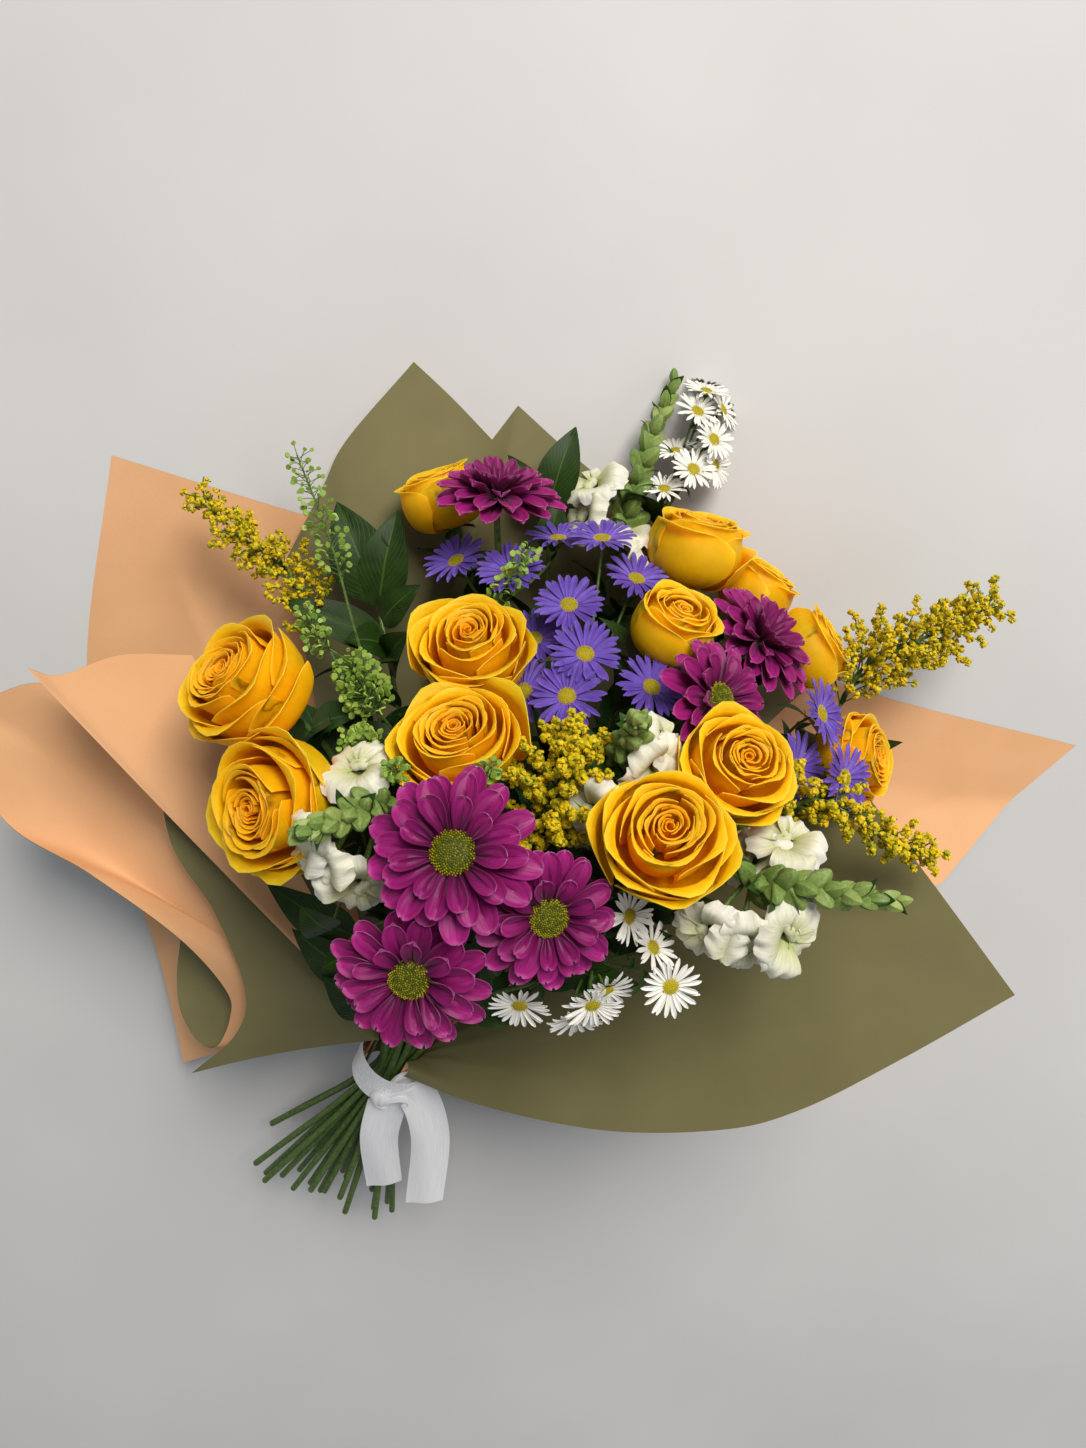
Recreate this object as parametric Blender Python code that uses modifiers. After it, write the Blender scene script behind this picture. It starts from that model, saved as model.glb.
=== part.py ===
# Mixed flower bouquet in two-tone paper with a satin ribbon, laid on its back.
# Lengths in the tables are millimetres; MM turns them to metres. +Z is up.
# Places are given as they are seen: two picture coordinates, and a depth towards the eye from the plane
# of the front flowers. spot() turns them into a point of the lying bouquet.
import math
import random

import bmesh
import bpy
from mathutils import Matrix, Vector
from mathutils.bvhtree import BVHTree

MM = 0.001
SEED = 11

# How the bouquet is seen, and how it lies
EYE_DISTANCE = 520.0
PICTURE_FOCAL = 1094.0
PICTURE_CENTRE = (543.0, 724.0)
LYING_TILT = math.radians(20.0)
TABLE_DROP = 232.0
BOX_CENTRE_SHIFT = (-19.0, 168.0)

# The tie, and the bundle of stems through it
TIE = (392, 1062, -250)
BUNDLE_AXIS = (0.397, 0.744, 0.538)
SLOT_SPACING = 5.1
STEM_RADIUS = 2.38
STEM_ROUNDNESS = 1
TOP_RADII = {"rose": 2.0, "mum": 2.2, "snapdragon": 2.1, "aster": 1.8, "daisy": 1.5, "ruscus": 1.5,
             "goldenrod": 1.4, "pepper": 1.2}
BRANCH_RADIUS = 1.9
CALYX = (2.2 * MM, 5.0 * MM, 6.5 * MM)
ROSE_LEAF = (38 * MM, 20 * MM)
FORK_PLACE = 0.42
BOW_SIZES = (8, 16, 26)
NECK_HALF_LENGTH = 26.0
TAIL_LENGTHS = (135.0, 185.0)
TAIL_SPREAD_ACROSS = 4.4
TAIL_SPREAD_UP = 1.7
TAIL_SPREAD_DOWN = 3.4

# Paper
PAPER_THICKNESS = 0.8
NECK_RADIUS = 16.4
LAYER_STEP = 1.2
PAPER_BELOW_TIE = 18.0
PAPER_MOUTH = 25.0
MOUTH_STEP = 1.6
ROW_PLACES = (0.0, 0.34, 0.67, 1.0)
LYING_ROW_PLACES = (0.0, 0.30, 0.60, 0.84, 1.0)

# Thickness of petals and leaves, and the angle past which an edge stays sharp
BLADE = 0.8
LEAF_BLADE = 0.7
SHARP_ANGLE = 35.0

# Each bloom: picture x, picture y, depth, lean from the line of sight, direction of the lean (0 right,
# 90 up), diameter, spin
ROSES = {
    "rose_1": (243, 682, -62, 42, 140, 66, 10),
    "rose_2": (272, 806, -40, 30, 185, 68, 40),
    "rose_3": (442, 495, -154, 70, 110, 52, 0),
    "rose_4": (470, 648, -72, 38, 92, 58, 70),
    "rose_5": (458, 742, -36, 34, 100, 60, 25),
    "rose_6": (697, 545, -142, 68, 75, 62, 50),
    "rose_7": (758, 588, -176, 70, 55, 50, 15),
    "rose_8": (675, 625, -94, 50, 60, 50, 35),
    "rose_9": (813, 648, -160, 70, 30, 54, 60),
    "rose_10": (857, 758, -118, 52, 5, 52, 5),
    "rose_11": (737, 766, -34, 30, 50, 56, 30),
    "rose_12": (665, 836, -2, 26, 80, 60, 55),
}
# Rose petals in rings, outer ring first: how many, their turn in petals, then (radius, height) of the
# notches, of the widest place and of the top edge, as parts of the bloom's radius and height. The height
# itself is a part of the diameter.
ROSE_HEIGHT = 0.74
OPEN_LAYERS = [
    (5, 0.0, (0.30, 0.06), (0.92, 0.48), (1.0, 0.80)),
    (4, 0.4, (0.26, 0.14), (0.70, 0.58), (0.68, 0.92)),
    (3, 0.1, (0.22, 0.24), (0.44, 0.66), (0.36, 1.0)),
]
CLOSED_LAYERS = [
    (4, 0.0, (0.30, 0.06), (0.98, 0.44), (0.88, 0.86)),
    (3, 0.4, (0.26, 0.18), (0.62, 0.56), (0.50, 1.0)),
]
LEAFY_ROSES = ("rose_1", "rose_2", "rose_4", "rose_5", "rose_10", "rose_12")
CLOSED_ROSES = ("rose_3", "rose_6", "rose_7", "rose_8", "rose_9")

MUMS = {
    "mum_1": (453, 853, 16, 14, 110, 82, 0),
    "mum_2": (410, 978, 0, 20, 250, 80, 8),
    "mum_3": (548, 917, 2, 18, 320, 74, 12),
    "mum_4": (500, 497, -106, 70, 90, 76, 4),
    "mum_5": (718, 700, -71, 44, 20, 70, 6),
    "mum_6": (762, 640, -118, 58, 40, 70, 2),
}
OPEN_MUMS = ("mum_1", "mum_2", "mum_3", "mum_5")
ASTERS = {
    "aster_spray_1": {
        "base": (490, 600, -150),
        "heads": [(457, 562, -124, 45, 120), (511, 572, -103, 40, 100), (569, 606, -92, 32, 90),
                  (534, 640, -104, 35, 100), (558, 540, -136, 60, 90)],
    },
    "aster_spray_2": {
        "base": (585, 700, -120),
        "heads": [(585, 655, -72, 28, 80), (567, 697, -62, 20, 100), (524, 692, -84, 30, 110),
                  (602, 540, -112, 55, 90), (636, 580, -122, 45, 70)],
    },
    "aster_spray_3": {
        "base": (790, 740, -150),
        "heads": [(651, 688, -80, 30, 60), (820, 714, -94, 50, 20), (843, 778, -80, 40, 10),
                  (796, 768, -92, 35, 20)],
    },
}
ASTER_DIAMETER = 36.0
ASTER_RAYS = 8
ASTER_TWIG = 0.8

DAISIES = {
    "daisy_spray_1": {
        "base": (670, 500, -170),
        "heads": [(693, 413, -160, 55, 60), (711, 440, -158, 45, 30), (694, 468, -160, 35, 60),
                  (664, 487, -158, 50, 90), (722, 408, -166, 60, 20)],
        "diameter": 20.0,
    },
    "daisy_spray_2": {
        "base": (600, 960, -70),
        "heads": [(670, 986, -22, 15, 300), (592, 1004, -30, 40, 280), (520, 1004, -34, 40, 260),
                  (628, 916, -34, 40, 0)],
        "diameter": 27.0,
    },
}
DAISY_RAYS = 7
DAISY_TWIG = 0.7

SNAPDRAGONS = {
    "snapdragon_1": {
        "spine": [(610, 575, -172), (628, 510, -158), (650, 440, -156), (674, 382, -160)],
        "florets": [(590, 492, -156, 60, 120), (622, 532, -148, 50, 60)],
    },
    "snapdragon_2": {
        "spine": [(400, 800, -52), (372, 806, -18), (338, 820, 4), (303, 832, 14)],
        "florets": [(358, 768, -32, 30, 110), (322, 864, -16, 30, 220), (358, 882, -24, 25, 260)],
    },
    "snapdragon_3": {
        "spine": [(612, 762, -75), (622, 752, -45), (632, 738, -20), (640, 722, -4)],
        "florets": [(657, 762, -30, 35, 300), (592, 800, -30, 30, 200)],
    },
    "snapdragon_4": {
        "spine": [(735, 880, -52), (775, 884, -24), (835, 892, -14), (896, 902, -12)],
        "florets": [(782, 842, -38, 30, 90), (708, 932, -26, 25, 240), (768, 934, -16, 20, 280)],
    },
}

SNAPDRAGON_BUDS = 6
BUD_SIZES = (6.6, 3.0)
FLORET_DEPTH = 9.0
FLORET_REACH = (6.0, 15.0, 14.0)

GOLDENRODS = {
    "goldenrod_1": [(835, 715, -175), (880, 650, -165), (935, 630, -160), (996, 600, -158)],
    "goldenrod_2": [(330, 650, -150), (290, 575, -150), (245, 540, -148), (194, 493, -146)],
    "goldenrod_3": [(560, 850, -70), (556, 815, -45), (558, 775, -32), (566, 735, -28)],
    "goldenrod_4": [(760, 820, -95), (820, 800, -72), (880, 835, -64), (936, 855, -62)],
}
GOLDENROD_REACH = {"goldenrod_1": 34.0, "goldenrod_2": 22.0, "goldenrod_3": 24.0, "goldenrod_4": 20.0}

SIDE_SHOOTS = 6
SHOOT_RADII = (1.2, 2.65, 1.08, 1.65)

PEPPER_GRASS = {
    "pepper_grass_1": [(372, 690, -135), (352, 620, -118), (330, 540, -124), (297, 455, -134)],
    "pepper_grass_2": [(400, 740, -110), (385, 720, -92), (370, 700, -86), (352, 672, -88)],
}

PODS = 12
POD_SIZE = (2.9, 1.1)
POD_LEAN = 62.0

# Each leaf: how far up its stem it grows, its tip, its width
RUSCUS = {
    "ruscus_1": {
        "spine": [(395, 690, -160), (385, 640, -155), (375, 590, -160), (362, 545, -166)],
        "leaves": [(0.72, (335, 505, -160), 26), (0.60, (398, 515, -168), 24),
                   (0.40, (285, 600, -148), 18), (0.20, (412, 628, -130), 16)],
    },
    "ruscus_2": {
        "spine": [(545, 620, -168), (548, 560, -166), (548, 520, -166), (550, 490, -166)],
        "leaves": [(0.85, (577, 428, -166), 20), (0.70, (512, 460, -164), 16)],
    },
}

# Paper sheets. Each rim is a list of runs of seen points from one corner to the next, in order round the
# neck. Steps is how many columns each run has, and layer counts outwards from the stems. Belly is how far
# the sheet bows out half way up. Lie is how far the rim is let down, until it lies flat on the table.
SHEETS = {
    "paper_back_peach": {
        "rim": [
            [(177, 1077, -300), (149, 963, -282), (100, 830, -258), (85, 665, -228), (113, 455, -186)],
            [(113, 455, -186), (301, 515, -194), (600, 600, -216), (860, 690, -238), (1075, 745, -253)],
            [(1075, 745, -253), (1010, 822, -250), (950, 895, -246)],
        ],
        "steps": (7, 9, 2), "layer": (6.0, 6.0), "belly": 7.0, "lie": 17.0,
        "rows": LYING_ROW_PLACES,"face": "peach",
    },
    "paper_back_olive": {
        "rim": [
            [(285, 560, -184), (321, 489, -177), (345, 441, -169), (413, 362, -160)],
            [(413, 362, -160), (450, 397, -166), (492, 440, -178)],
            [(492, 440, -178), (518, 406, -169)],
            [(518, 406, -169), (579, 461, -178), (700, 560, -202), (830, 670, -219)],
        ],
        "steps": (4, 2, 1, 4), "layer": (4.0, 4.0), "belly": 4.0, "lie": 5.0, "face": "olive",
    },
    "paper_left_roll": {
        "rim": [
            [(110, 700, -152), (35, 683, -134), (-28, 706, -126)],
            [(-28, 706, -126), (0, 815, -150), (90, 874, -172), (179, 938, -198), (226, 990, -218),
             (230, 1018, -228), (217, 1046, -240), (199, 1042, -250), (181, 1012, -254), (177, 975, -254),
             (181, 930, -242), (178, 880, -228)],
        ],
        "steps": (2, 15), "layer": (2.0, 3.0), "belly": 2.0, "face": "peach",
    },
    "paper_left_olive": {
        "rim": [
            [(192, 1073, -222), (236, 1034, -210), (245, 990, -198), (215, 913, -180), (170, 840, -164),
             (165, 750, -156), (215, 690, -160)],
        ],
        "steps": (8,), "layer": (1.0, 1.0), "belly": 3.0, "face": "olive",
    },
    "paper_left_front": {
        "rim": [[(27, 668, -84), (60, 675, -92), (120, 655, -110), (192, 655, -132)]],
        "steps": (5,), "layer": (-0.3, -0.3), "belly": 8.0, "face": "peach",
    },
    "paper_front_right": {
        "rim": [
            [(404, 1076, -225), (480, 1105, -192), (600, 1130, -142), (720, 1130, -102), (800, 1110, -82),
             (900, 1060, -67), (1015, 995, -50)],
            [(1015, 995, -50), (950, 900, -78), (888, 835, -108)],
        ],
        "steps": (8, 3), "layer": (0.0, 0.0), "belly": 4.0, "face": "olive",
    },
}

# Ribbon: its two tails from the knot down, its width, and the band round the tie
RIBBON_TAILS = (
    [(400, 1062, -226), (414, 1092, -234), (434, 1135, -242), (424, 1206, -254)],
    [(396, 1064, -226), (385, 1100, -238), (372, 1140, -248), (380, 1192, -258)],
)
RIBBON_WIDTH = 27.0
BAND_LENGTH = 24.0
RIBBON_THICKNESS = 0.8
BAND_LAYER = 7.3

COLOURS = {
    "rose_petal": (0.93, 0.48, 0.01, 0.55),
    "mum_petal": (0.36, 0.03, 0.24, 0.6),
    "mum_disc": (0.16, 0.19, 0.01, 0.8),
    "aster_ray": (0.14, 0.06, 0.42, 0.6),
    "white_petal": (0.80, 0.78, 0.66, 0.55),
    "daisy_ray": (0.85, 0.84, 0.78, 0.6),
    "goldenrod_floret": (0.55, 0.38, 0.01, 0.8),
    "pod_green": (0.18, 0.32, 0.04, 0.6),
    "leaf_green": (0.02, 0.07, 0.01, 0.4),
    "stem_green": (0.08, 0.15, 0.03, 0.6),
    "paper_peach": (0.66, 0.38, 0.22, 0.8),
    "paper_olive": (0.22, 0.21, 0.11, 0.8),
    "satin_white": (0.85, 0.86, 0.88, 0.35),
}


def turned(vector):
    """A direction of the upright, facing view as it is once the bouquet lies down."""
    c, s = math.cos(LYING_TILT), math.sin(LYING_TILT)
    return Vector((vector[0], c * vector[1] + s * vector[2], -s * vector[1] + c * vector[2]))


def spot(seen):
    """The point of the lying bouquet that is seen at these picture coordinates and depth."""
    scale = (EYE_DISTANCE - seen[2]) / PICTURE_FOCAL
    across = (seen[0] - PICTURE_CENTRE[0]) * scale
    up = (PICTURE_CENTRE[1] - seen[1]) * scale
    shift = Vector((BOX_CENTRE_SHIFT[0], BOX_CENTRE_SHIFT[1], TABLE_DROP))
    return (turned((across, up, seen[2])) + shift) * MM


def facing(lean, toward):
    lean, toward = math.radians(lean), math.radians(toward)
    flat = math.sin(lean)
    return turned((flat * math.cos(toward), flat * math.sin(toward), math.cos(lean)))


AXIS = turned(BUNDLE_AXIS).normalized()
SIDE = AXIS.cross(Vector((0, 0, 1))).normalized()
RISE = SIDE.cross(AXIS).normalized()
NECK = spot(TIE)

main_collection = None
work_collection = None
standing = []


def clear_scene():
    for item in list(bpy.data.objects):
        bpy.data.objects.remove(item)
    for item in list(bpy.data.meshes):
        bpy.data.meshes.remove(item)


def make_material(name):
    red, green, blue, roughness = COLOURS[name]
    material = bpy.data.materials.new(name)
    material.use_nodes = True
    shader = material.node_tree.nodes["Principled BSDF"]
    shader.inputs["Base Color"].default_value = (red, green, blue, 1.0)
    shader.inputs["Roughness"].default_value = roughness
    shader.inputs["Metallic"].default_value = 0.0
    return material


def mesh_of(bm):
    mesh = bpy.data.meshes.new("piece")
    bmesh.ops.recalc_face_normals(bm, faces=bm.faces[:])
    bm.to_mesh(mesh)
    bm.free()
    return mesh


def evaluated(item):
    graph = bpy.context.evaluated_depsgraph_get()
    return bpy.data.meshes.new_from_object(item.evaluated_get(graph))


def surface(columns, rows, place):
    """A grid whose points are placed by a formula of u (across) and v (up), both 0 to 1."""
    bm = bmesh.new()
    bmesh.ops.create_grid(bm, x_segments=columns, y_segments=rows, size=0.5)
    for vert in bm.verts:
        vert.co = place(vert.co.x + 0.5, vert.co.y + 0.5)
    return mesh_of(bm)


def thickened(mesh, thickness):
    """A closed thin solid from an open surface."""
    item = bpy.data.objects.new("shell", mesh)
    work_collection.objects.link(item)
    solidify = item.modifiers.new("Solidify", "SOLIDIFY")
    solidify.thickness = thickness
    solidify.offset = 0.0
    solid = evaluated(item)
    bpy.data.objects.remove(item)
    return solid


def shell(columns, rows, place, thickness):
    """A closed thin blade or sheet round the surface that place gives."""
    return thickened(surface(columns, rows, place), thickness)


def ball(radius, sides, rings, matrix=Matrix()):
    bm = bmesh.new()
    bmesh.ops.create_uvsphere(bm, u_segments=sides, v_segments=rings, radius=radius, matrix=matrix)
    return mesh_of(bm)


def cone(bottom, top, height, sides, base_height=0.0):
    bm = bmesh.new()
    lift = Matrix.Translation((0, 0, base_height + height / 2))
    bmesh.ops.create_cone(bm, cap_ends=True, segments=sides, radius1=bottom, radius2=top,
                          depth=height, matrix=lift)
    return mesh_of(bm)


def tube(points, radii, roundness=STEM_ROUNDNESS):
    """A round stem through the points; each point has its own radius."""
    curve = bpy.data.curves.new("tube", "CURVE")
    curve.dimensions = "3D"
    curve.bevel_depth = 1.0
    curve.bevel_resolution = roundness
    curve.use_fill_caps = True
    curve.twist_mode = "MINIMUM"
    spline = curve.splines.new("POLY")
    spline.points.add(len(points) - 1)
    for knot, point, radius in zip(spline.points, points, radii):
        knot.co = (*point, 1.0)
        knot.radius = radius
    item = bpy.data.objects.new("tube", curve)
    work_collection.objects.link(item)
    mesh = evaluated(item)
    bpy.data.objects.remove(item)
    bpy.data.curves.remove(curve)
    bm = bmesh.new()
    bm.from_mesh(mesh)
    bpy.data.meshes.remove(mesh)
    bmesh.ops.remove_doubles(bm, verts=bm.verts[:], dist=0.00001)
    return mesh_of(bm)


def placed(mesh, matrix):
    copy = mesh.copy()
    copy.transform(matrix)
    return copy


def united(pieces):
    """One closed mesh from overlapping closed pieces, by one Boolean union on a collection."""
    first = bpy.data.objects.new("first", pieces[0])
    work_collection.objects.link(first)
    others = bpy.data.collections.new("others")
    bpy.context.scene.collection.children.link(others)
    for mesh in pieces[1:]:
        others.objects.link(bpy.data.objects.new("other", mesh))
    boolean = first.modifiers.new("Union", "BOOLEAN")
    boolean.operation = "UNION"
    boolean.operand_type = "COLLECTION"
    boolean.collection = others
    boolean.solver = "MANIFOLD"
    mesh = evaluated(first)
    for item in list(others.objects) + [first]:
        bpy.data.objects.remove(item)
    bpy.data.collections.remove(others)
    mesh.materials.clear()
    return mesh


def tree_of(mesh):
    return BVHTree.FromPolygons([v.co for v in mesh.vertices], [tuple(p.vertices) for p in mesh.polygons])


def crossings(mesh, skip=()):
    tree = tree_of(mesh)
    return sum(len(tree.overlap(other)) for name, other in standing if name not in skip)


def finish(name, mesh, material):
    """Puts a solid in the model under its name, and among what later pieces have to clear."""
    item = bpy.data.objects.new(name, mesh)
    mesh.name = name
    mesh.materials.append(material)
    main_collection.objects.link(item)
    mesh.shade_smooth()
    mesh.set_sharp_from_angle(angle=math.radians(SHARP_ANGLE))
    standing.append((name, tree_of(mesh)))
    return item


def frame_at(origin, forward, spin=0.0):
    """A matrix whose Z runs along forward, turned by spin degrees about it."""
    turn = forward.to_track_quat("Z", "Y").to_matrix().to_4x4()
    return Matrix.Translation(origin) @ turn @ Matrix.Rotation(math.radians(spin), 4, "Z")


def bezier(points, t):
    while len(points) > 1:
        points = [a.lerp(b, t) for a, b in zip(points, points[1:])]
    return points[0]


def through(points, t):
    """A point at t, 0 to 1, of a smooth curve through all the points."""
    spans = len(points) - 1
    place = min(t * spans, spans - 1e-9)
    k = int(place)
    f = place - k
    p1, p2 = points[k], points[k + 1]
    p0 = points[k - 1] if k > 0 else p1 * 2 - p2
    p3 = points[k + 2] if k + 2 < len(points) else p2 * 2 - p1
    return (p1 * 2 + (p2 - p0) * f + (p0 * 2 - p1 * 5 + p2 * 4 - p3) * f ** 2
            + (p1 * 3 - p0 - p2 * 3 + p3) * f ** 3) * 0.5


def along_line(points, t):
    """A point at t, 0 to 1, of the straight-sided line through the points."""
    place = min(t * (len(points) - 1), len(points) - 1 - 1e-9)
    return points[int(place)].lerp(points[int(place) + 1], place - int(place))


# Roses
def cup(count, offset, root, girdle, rim, thickness):
    """A ring of cupped petals joined at their roots. Root, girdle and rim are (radius, height) of the
    notch between petals, of the petal's widest place and of its top edge."""
    bm = bmesh.new()

    def corner(turn, ring):
        angle = 2 * math.pi * turn / count
        return bm.verts.new((ring[0] * math.cos(angle), ring[0] * math.sin(angle), ring[1]))
    notches = [corner(index + offset - 0.5, root) for index in range(count)]
    bm.faces.new(notches)
    for index in range(count):
        left, right = corner(index + offset - 0.47, girdle), corner(index + offset + 0.45, girdle)
        top_left, top_right = corner(index + offset - 0.26, rim), corner(index + offset + 0.24, rim)
        bm.faces.new((notches[index], left, right, notches[(index + 1) % count]))
        bm.faces.new((left, top_left, top_right, right))
    return thickened(mesh_of(bm), thickness)


def rose_mesh(diameter, layers):
    """A bloom on +Z with its base at the origin: rings of petals round a closed heart."""
    unit = diameter * MM / 2
    tall = diameter * MM * ROSE_HEIGHT
    pieces = [cone(0.14 * unit, 0.20 * unit, 0.88 * tall, 5)]
    for count, offset, *rings in layers:
        root, girdle, rim = ((radius * unit, height * tall) for radius, height in rings)
        pieces.append(cup(count, offset, root, girdle, rim, BLADE * MM))
    return united(pieces)


def build_roses(petal):
    bases = {}
    for name, (x, y, depth, lean, toward, diameter, spin) in ROSES.items():
        forward = facing(lean, toward)
        centre = spot((x, y, depth))
        base = centre - forward * (diameter * MM * ROSE_HEIGHT * 0.55)
        layers = CLOSED_LAYERS if name in CLOSED_ROSES else OPEN_LAYERS
        mesh = placed(rose_mesh(diameter, layers), frame_at(base, forward, spin))
        finish(name + "_bloom", mesh, petal)
        bases[name] = (base, forward)
    return bases


# Spray chrysanthemums
def rosette(count, offset, petal, thickness):
    """A ring of petals in one thin blade, cut to a small middle. The petal lists its own points as
    (turn in petals, radius, height), from the notch before it to the last one before the next notch."""
    bm = bmesh.new()
    rows = []
    for index in range(count):
        row = []
        for turn, radius, height in petal:
            angle = 2 * math.pi * (index + offset + turn) / count
            row.append(bm.verts.new((radius * math.cos(angle), radius * math.sin(angle), height)))
        rows.append(row)
    bm.faces.new([row[0] for row in rows])
    for row, following in zip(rows, rows[1:] + rows[:1]):
        bm.faces.new([following[0]] + row[::-1])
    bmesh.ops.recalc_face_normals(bm, faces=bm.faces[:])
    top = bmesh.ops.extrude_face_region(bm, geom=bm.faces[:])
    for part in top["geom"]:
        if isinstance(part, bmesh.types.BMVert):
            part.co.z += thickness
    return mesh_of(bm)


def mum_mesh(diameter):
    radius = diameter * MM / 2
    pieces = [cone(0.10 * radius, 0.16 * radius, 0.20 * radius, 6)]
    for count, offset, reach, lift, height in ((11, 0.0, 1.0, 0.10, 0.04), (8, 0.5, 0.80, 0.22, 0.13)):
        strap = [(-0.5, 0.20, 0.0), (-0.42, 0.66, 0.8), (0.0, 1.0, 1.0), (0.42, 0.66, 0.8)]
        petal = [(turn, r * reach * radius, (height + z * lift) * radius) for turn, r, z in strap]
        pieces.append(rosette(count, offset, petal, BLADE * MM))
    return united(pieces)


def build_mums(petal, disc):
    bases = {}
    for name, (x, y, depth, lean, toward, diameter, spin) in MUMS.items():
        forward = facing(lean, toward)
        radius = diameter * MM / 2
        base = spot((x, y, depth)) - forward * 0.2 * radius
        matrix = frame_at(base, forward, spin)
        finish(name + "_bloom", placed(mum_mesh(diameter), matrix), petal)
        if name in OPEN_MUMS:
            button = cone(0.2 * radius, 0.12 * radius, 0.12 * radius, 10, 0.20 * radius + 0.3 * MM)
            finish(name + "_disc", placed(button, matrix), disc)
        bases[name] = (base, forward)
    return bases


def bows():
    yield Vector((0, 0, 0))
    for size in BOW_SIZES:
        for turn in range(8):
            angle = math.pi * turn / 4
            yield (SIDE * math.cos(angle) + RISE * math.sin(angle)) * size * MM


# Small daisy heads, for asters and white daisies
def small_head(diameter, rays):
    """Narrow rays round a small middle."""
    radius = diameter * MM / 2
    ray = [(-0.5, 0.24 * radius, 0.12 * radius), (-0.3, 0.97 * radius, 0.3 * radius),
           (0.3, 0.97 * radius, 0.3 * radius)]
    return rosette(rays, 0.0, ray, BLADE * MM)


def spray_pieces(heads, base, diameter, rays, twig_radius):
    """Heads on twigs that leave one fork; a twig widens under its head and ends as the button."""
    pieces = []
    radius = diameter * MM / 2
    head = small_head(diameter, rays)
    for x, y, depth, lean, toward in heads:
        forward = facing(lean, toward)
        foot = spot((x, y, depth)) - forward * 0.12 * radius
        pieces.append(placed(head, frame_at(foot, forward, x * 7)))
        for bow in bows():
            knee = foot - forward * 0.9 * radius + bow
            points = [base, bezier([base, knee, foot], 0.6), foot, foot + forward * 0.30 * radius]
            twig = tube(points, [twig_radius, twig_radius, 0.12 * radius, 0.21 * radius], 0)
            if not crossings(twig):
                break
        pieces.append(twig)
    return pieces


# Snapdragons
def snapdragon_pieces(data):
    """A flower spike: buds in a spiral towards the tip, and open flowers of five lobes on short throats."""
    spine = [spot(p) for p in data["spine"]]
    line = [through(spine, t) for t in (0, 0.25, 0.5, 0.75, 1)]
    pieces = [tube(line, [2.0 * MM, 1.8 * MM, 1.5 * MM, 1.2 * MM, 0.9 * MM], 0)]
    for index in range(SNAPDRAGON_BUDS):
        share = index / (SNAPDRAGON_BUDS - 1)
        t = 0.45 + 0.55 * share
        forward = (through(spine, min(t + 0.02, 1)) - through(spine, t - 0.02)).normalized()
        frame = frame_at(along_line(line, t), forward, index * 137.5)
        size = (BUD_SIZES[0] + (BUD_SIZES[1] - BUD_SIZES[0]) * share) * MM
        tip_out = Matrix.Translation((size * 0.75, 0, size * 0.5)) @ Matrix.Rotation(0.6, 4, "Y")
        shape = Matrix.Diagonal((0.8, 0.8, 1.3, 1.0))
        pieces.append(ball(size, 4, 3, frame @ tip_out @ shape))
    inner, outer, top = (value * MM for value in FLORET_REACH)
    lobe = [(-0.5, inner, FLORET_DEPTH * MM), (-0.3, outer, top), (0.3, outer, top)]
    for x, y, depth, lean, toward in data["florets"]:
        forward = facing(lean, toward)
        foot = spot((x, y, depth)) - forward * FLORET_DEPTH * MM
        pieces.append(placed(rosette(5, 0.0, lobe, 1.0 * MM), frame_at(foot, forward, 20)))
        near = min((along_line(line, t / 10) for t in range(0, 8)), key=lambda p: (p - foot).length)
        pieces.append(tube([near, foot, foot + forward * 9.4 * MM], [1.4 * MM, 2.0 * MM, 4.6 * MM], 0))
    return pieces


# Goldenrod and pepper-grass
def knobbly(start, end, bow):
    """A side shoot of goldenrod, thicker where its florets crowd."""
    points = []
    for index in range(len(SHOOT_RADII)):
        t = index / (len(SHOOT_RADII) - 1)
        points.append(start.lerp(end, t) + bow * math.sin(math.pi * t))
    return tube(points, [radius * MM for radius in SHOOT_RADII], 0)


def goldenrod_pieces(seen, reach, rng):
    spine = [spot(p) for p in seen]
    line = [through(spine, t) for t in (0, 0.25, 0.5, 0.75, 1)]
    pieces = [tube(line, [1.3 * MM, 1.2 * MM, 1.2 * MM, 1.5 * MM, 1.6 * MM], 0)]
    for index in range(SIDE_SHOOTS):
        t = 0.25 + 0.68 * index / SIDE_SHOOTS
        start = along_line(line, t)
        forward = (through(spine, t + 0.02) - start).normalized()
        frame = frame_at(start, forward, index * 137.5 + rng.uniform(-15, 15))
        out = (frame.to_3x3() @ Vector((1, 0, 0.75))).normalized()
        length = reach * (1.0 - 0.55 * t) * rng.uniform(0.8, 1.1) * MM
        for scale in (1.0, 0.75, 0.5):
            shoot = knobbly(start, start + out * length * scale, forward * 0.15 * length)
            if not crossings(shoot):
                pieces.append(shoot)
                break
    return pieces


def pepper_pieces(seen, rng):
    spine = [spot(p) for p in seen]
    line = [through(spine, t) for t in (0, 0.25, 0.5, 0.75, 1)]
    pieces = [tube(line, [1.1 * MM, 1.0 * MM, 0.9 * MM, 0.8 * MM, 0.7 * MM], 0)]
    for index in range(PODS):
        t = 0.2 + 0.78 * index / PODS
        start = along_line(line, t)
        forward = (through(spine, t + 0.02) - start).normalized()
        for tries in range(4):
            frame = frame_at(start, forward, index * 137.5 + 90 * tries)
            reach = rng.uniform(8.0, 11.0) * MM
            out = Matrix.Rotation(math.radians(POD_LEAN), 4, "Y")
            shape = Matrix.Diagonal((POD_SIZE[0] * MM, POD_SIZE[1] * MM, reach * 0.6, 1))
            pod = ball(1.0, 4, 2, frame @ out @ Matrix.Translation((0, 0, reach / 2)) @ shape)
            if not crossings(pod):
                pieces.append(pod)
                break
    return pieces


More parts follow.
